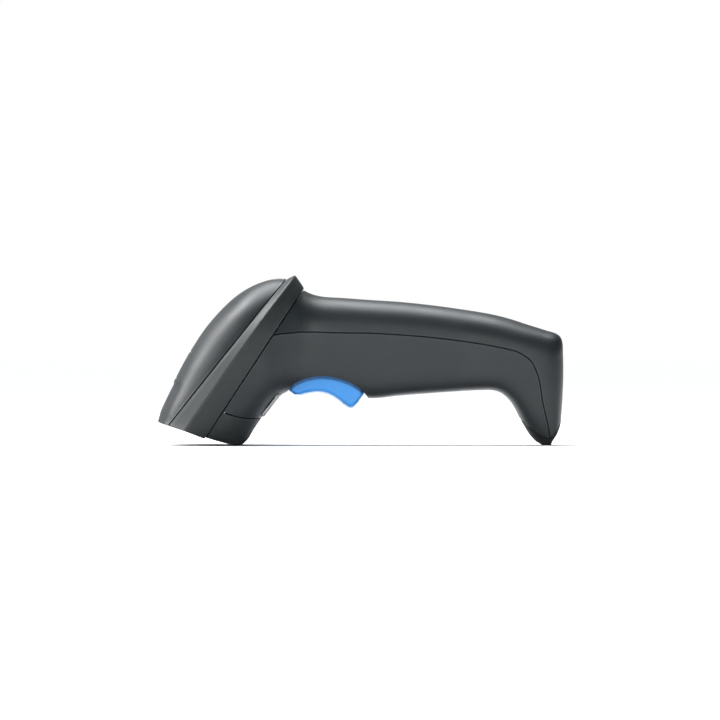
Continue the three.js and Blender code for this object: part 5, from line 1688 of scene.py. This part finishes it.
def surround(strength):
    """A world that looks white, and lights the scanner from the left more than from the right."""
    world = bpy.data.worlds.new("Surround")
    world.use_nodes = True
    nodes, links = world.node_tree.nodes, world.node_tree.links
    nodes.clear()
    kinds = ("Background", "Background", "MixShader", "LightPath", "OutputWorld", "TexCoord", "SeparateXYZ",
             "MapRange")
    seen, lit, mix, path, out, direction, split, side = (nodes.new("ShaderNode" + kind) for kind in kinds)
    seen.inputs[0].default_value = (1, 1, 1, 1)
    seen.inputs[1].default_value = 1.0
    lit.inputs[0].default_value = SURROUND_TINT
    levels = [strength * share for share in SURROUND_FALL["to"]]
    for socket, value in zip(RANGE, (*SURROUND_FALL["from"], *levels)):
        side.inputs[socket].default_value = value
    for start, end in ((direction.outputs["Generated"], split.inputs[0]),
                       (split.outputs["X"], side.inputs["Value"]),
                       (side.outputs["Result"], lit.inputs[1]),
                       (path.outputs["Is Camera Ray"], mix.inputs[0]),
                       (lit.outputs[0], mix.inputs[1]),
                       (seen.outputs[0], mix.inputs[2]),
                       (mix.outputs[0], out.inputs[0])):
        links.new(start, end)
    return world


# ---- Operators -----------------------------------------------------------------------------------


class SCANNER_OT_casing(bpy.types.Operator):
    """Build the hood, the two body shells and the chin guard"""
    bl_idname = "scanner.casing"
    bl_label = "Casing"

    def execute(self, context):
        build_casing()
        return {"FINISHED"}


class SCANNER_OT_band(bpy.types.Operator):
    """Build the bumper band"""
    bl_idname = "scanner.band"
    bl_label = "Bumper Band"

    def execute(self, context):
        build_band()
        return {"FINISHED"}


class SCANNER_OT_heel(bpy.types.Operator):
    """Build the rubber heel"""
    bl_idname = "scanner.heel"
    bl_label = "Heel"

    def execute(self, context):
        build_heel()
        return {"FINISHED"}


class SCANNER_OT_trigger(bpy.types.Operator):
    """Build the trigger"""
    bl_idname = "scanner.trigger"
    bl_label = "Trigger"

    def execute(self, context):
        build_trigger()
        return {"FINISHED"}


class SCANNER_OT_nose(bpy.types.Operator):
    """Build the bezel, the window and its gasket"""
    bl_idname = "scanner.nose"
    bl_label = "Nose"

    def execute(self, context):
        build_nose()
        return {"FINISHED"}


class SCANNER_OT_fittings(bpy.types.Operator):
    """Build the label, the badge and the status light"""
    bl_idname = "scanner.fittings"
    bl_label = "Label, Badge and Status Light"

    def execute(self, context):
        build_fittings()
        return {"FINISHED"}


class SCANNER_OT_screws(bpy.types.Operator):
    """Build the screws of the handle and the head"""
    bl_idname = "scanner.screws"
    bl_label = "Screws"

    def execute(self, context):
        build_screws()
        return {"FINISHED"}


class SCANNER_OT_spring(bpy.types.Operator):
    """Build the trigger's return spring"""
    bl_idname = "scanner.spring"
    bl_label = "Return Spring"

    def execute(self, context):
        build_spring()
        return {"FINISHED"}


class SCANNER_OT_contacts(bpy.types.Operator):
    """Build the contacts in the cable's socket"""
    bl_idname = "scanner.contacts"
    bl_label = "Socket Contacts"

    def execute(self, context):
        build_contacts()
        return {"FINISHED"}


class SCANNER_OT_board_parts(bpy.types.Operator):
    """Build the chips' legs and the small parts on the main board"""
    bl_idname = "scanner.board_parts"
    bl_label = "Parts on the Board"

    def execute(self, context):
        build_legs()
        build_small_parts()
        return {"FINISHED"}


class SCANNER_OT_inner(bpy.types.Operator):
    """Give the inner pieces their finishes"""
    bl_idname = "scanner.inner"
    bl_label = "Inner Finishes"

    def execute(self, context):
        finish_inner_pieces()
        return {"FINISHED"}


class SCANNER_OT_stage(bpy.types.Operator):
    """Set up the floor, the lights and the camera"""
    bl_idname = "scanner.stage"
    bl_label = "Stage"

    def execute(self, context):
        build_stage()
        return {"FINISHED"}


BUILD_ORDER = ("casing", "band", "heel", "trigger", "nose", "fittings", "screws", "spring", "contacts",
               "board_parts", "inner", "stage")


class SCANNER_PT_panel(bpy.types.Panel):
    bl_idname = "SCANNER_PT_panel"
    bl_label = "Handheld Scanner"
    bl_space_type = "VIEW_3D"
    bl_region_type = "UI"
    bl_category = "Scanner"

    def draw(self, context):
        for group in ("scanner_casing", "scanner_fittings", "scanner_stage"):
            box = self.layout.box()
            for name in getattr(context.scene, group).__annotations__:
                box.prop(getattr(context.scene, group), name)
        for step in BUILD_ORDER:
            self.layout.operator("scanner." + step)


GROUPS = {
    "scanner_casing": CasingSettings,
    "scanner_fittings": FittingSettings,
    "scanner_stage": StageSettings,
}
CLASSES = (
    *GROUPS.values(), SCANNER_OT_casing, SCANNER_OT_band, SCANNER_OT_heel, SCANNER_OT_trigger,
    SCANNER_OT_nose, SCANNER_OT_fittings, SCANNER_OT_screws, SCANNER_OT_spring, SCANNER_OT_contacts,
    SCANNER_OT_board_parts, SCANNER_OT_inner, SCANNER_OT_stage, SCANNER_PT_panel,
)


def register():
    for cls in CLASSES:
        bpy.utils.register_class(cls)
    for name, cls in GROUPS.items():
        setattr(bpy.types.Scene, name, PointerProperty(type=cls))


def unregister():
    for name in GROUPS:
        delattr(bpy.types.Scene, name)
    for cls in reversed(CLASSES):
        bpy.utils.unregister_class(cls)


def main():
    register()
    for step in BUILD_ORDER:
        getattr(bpy.ops.scanner, step)()
    bpy.context.view_layer.update()


if __name__ == "__main__":
    main()
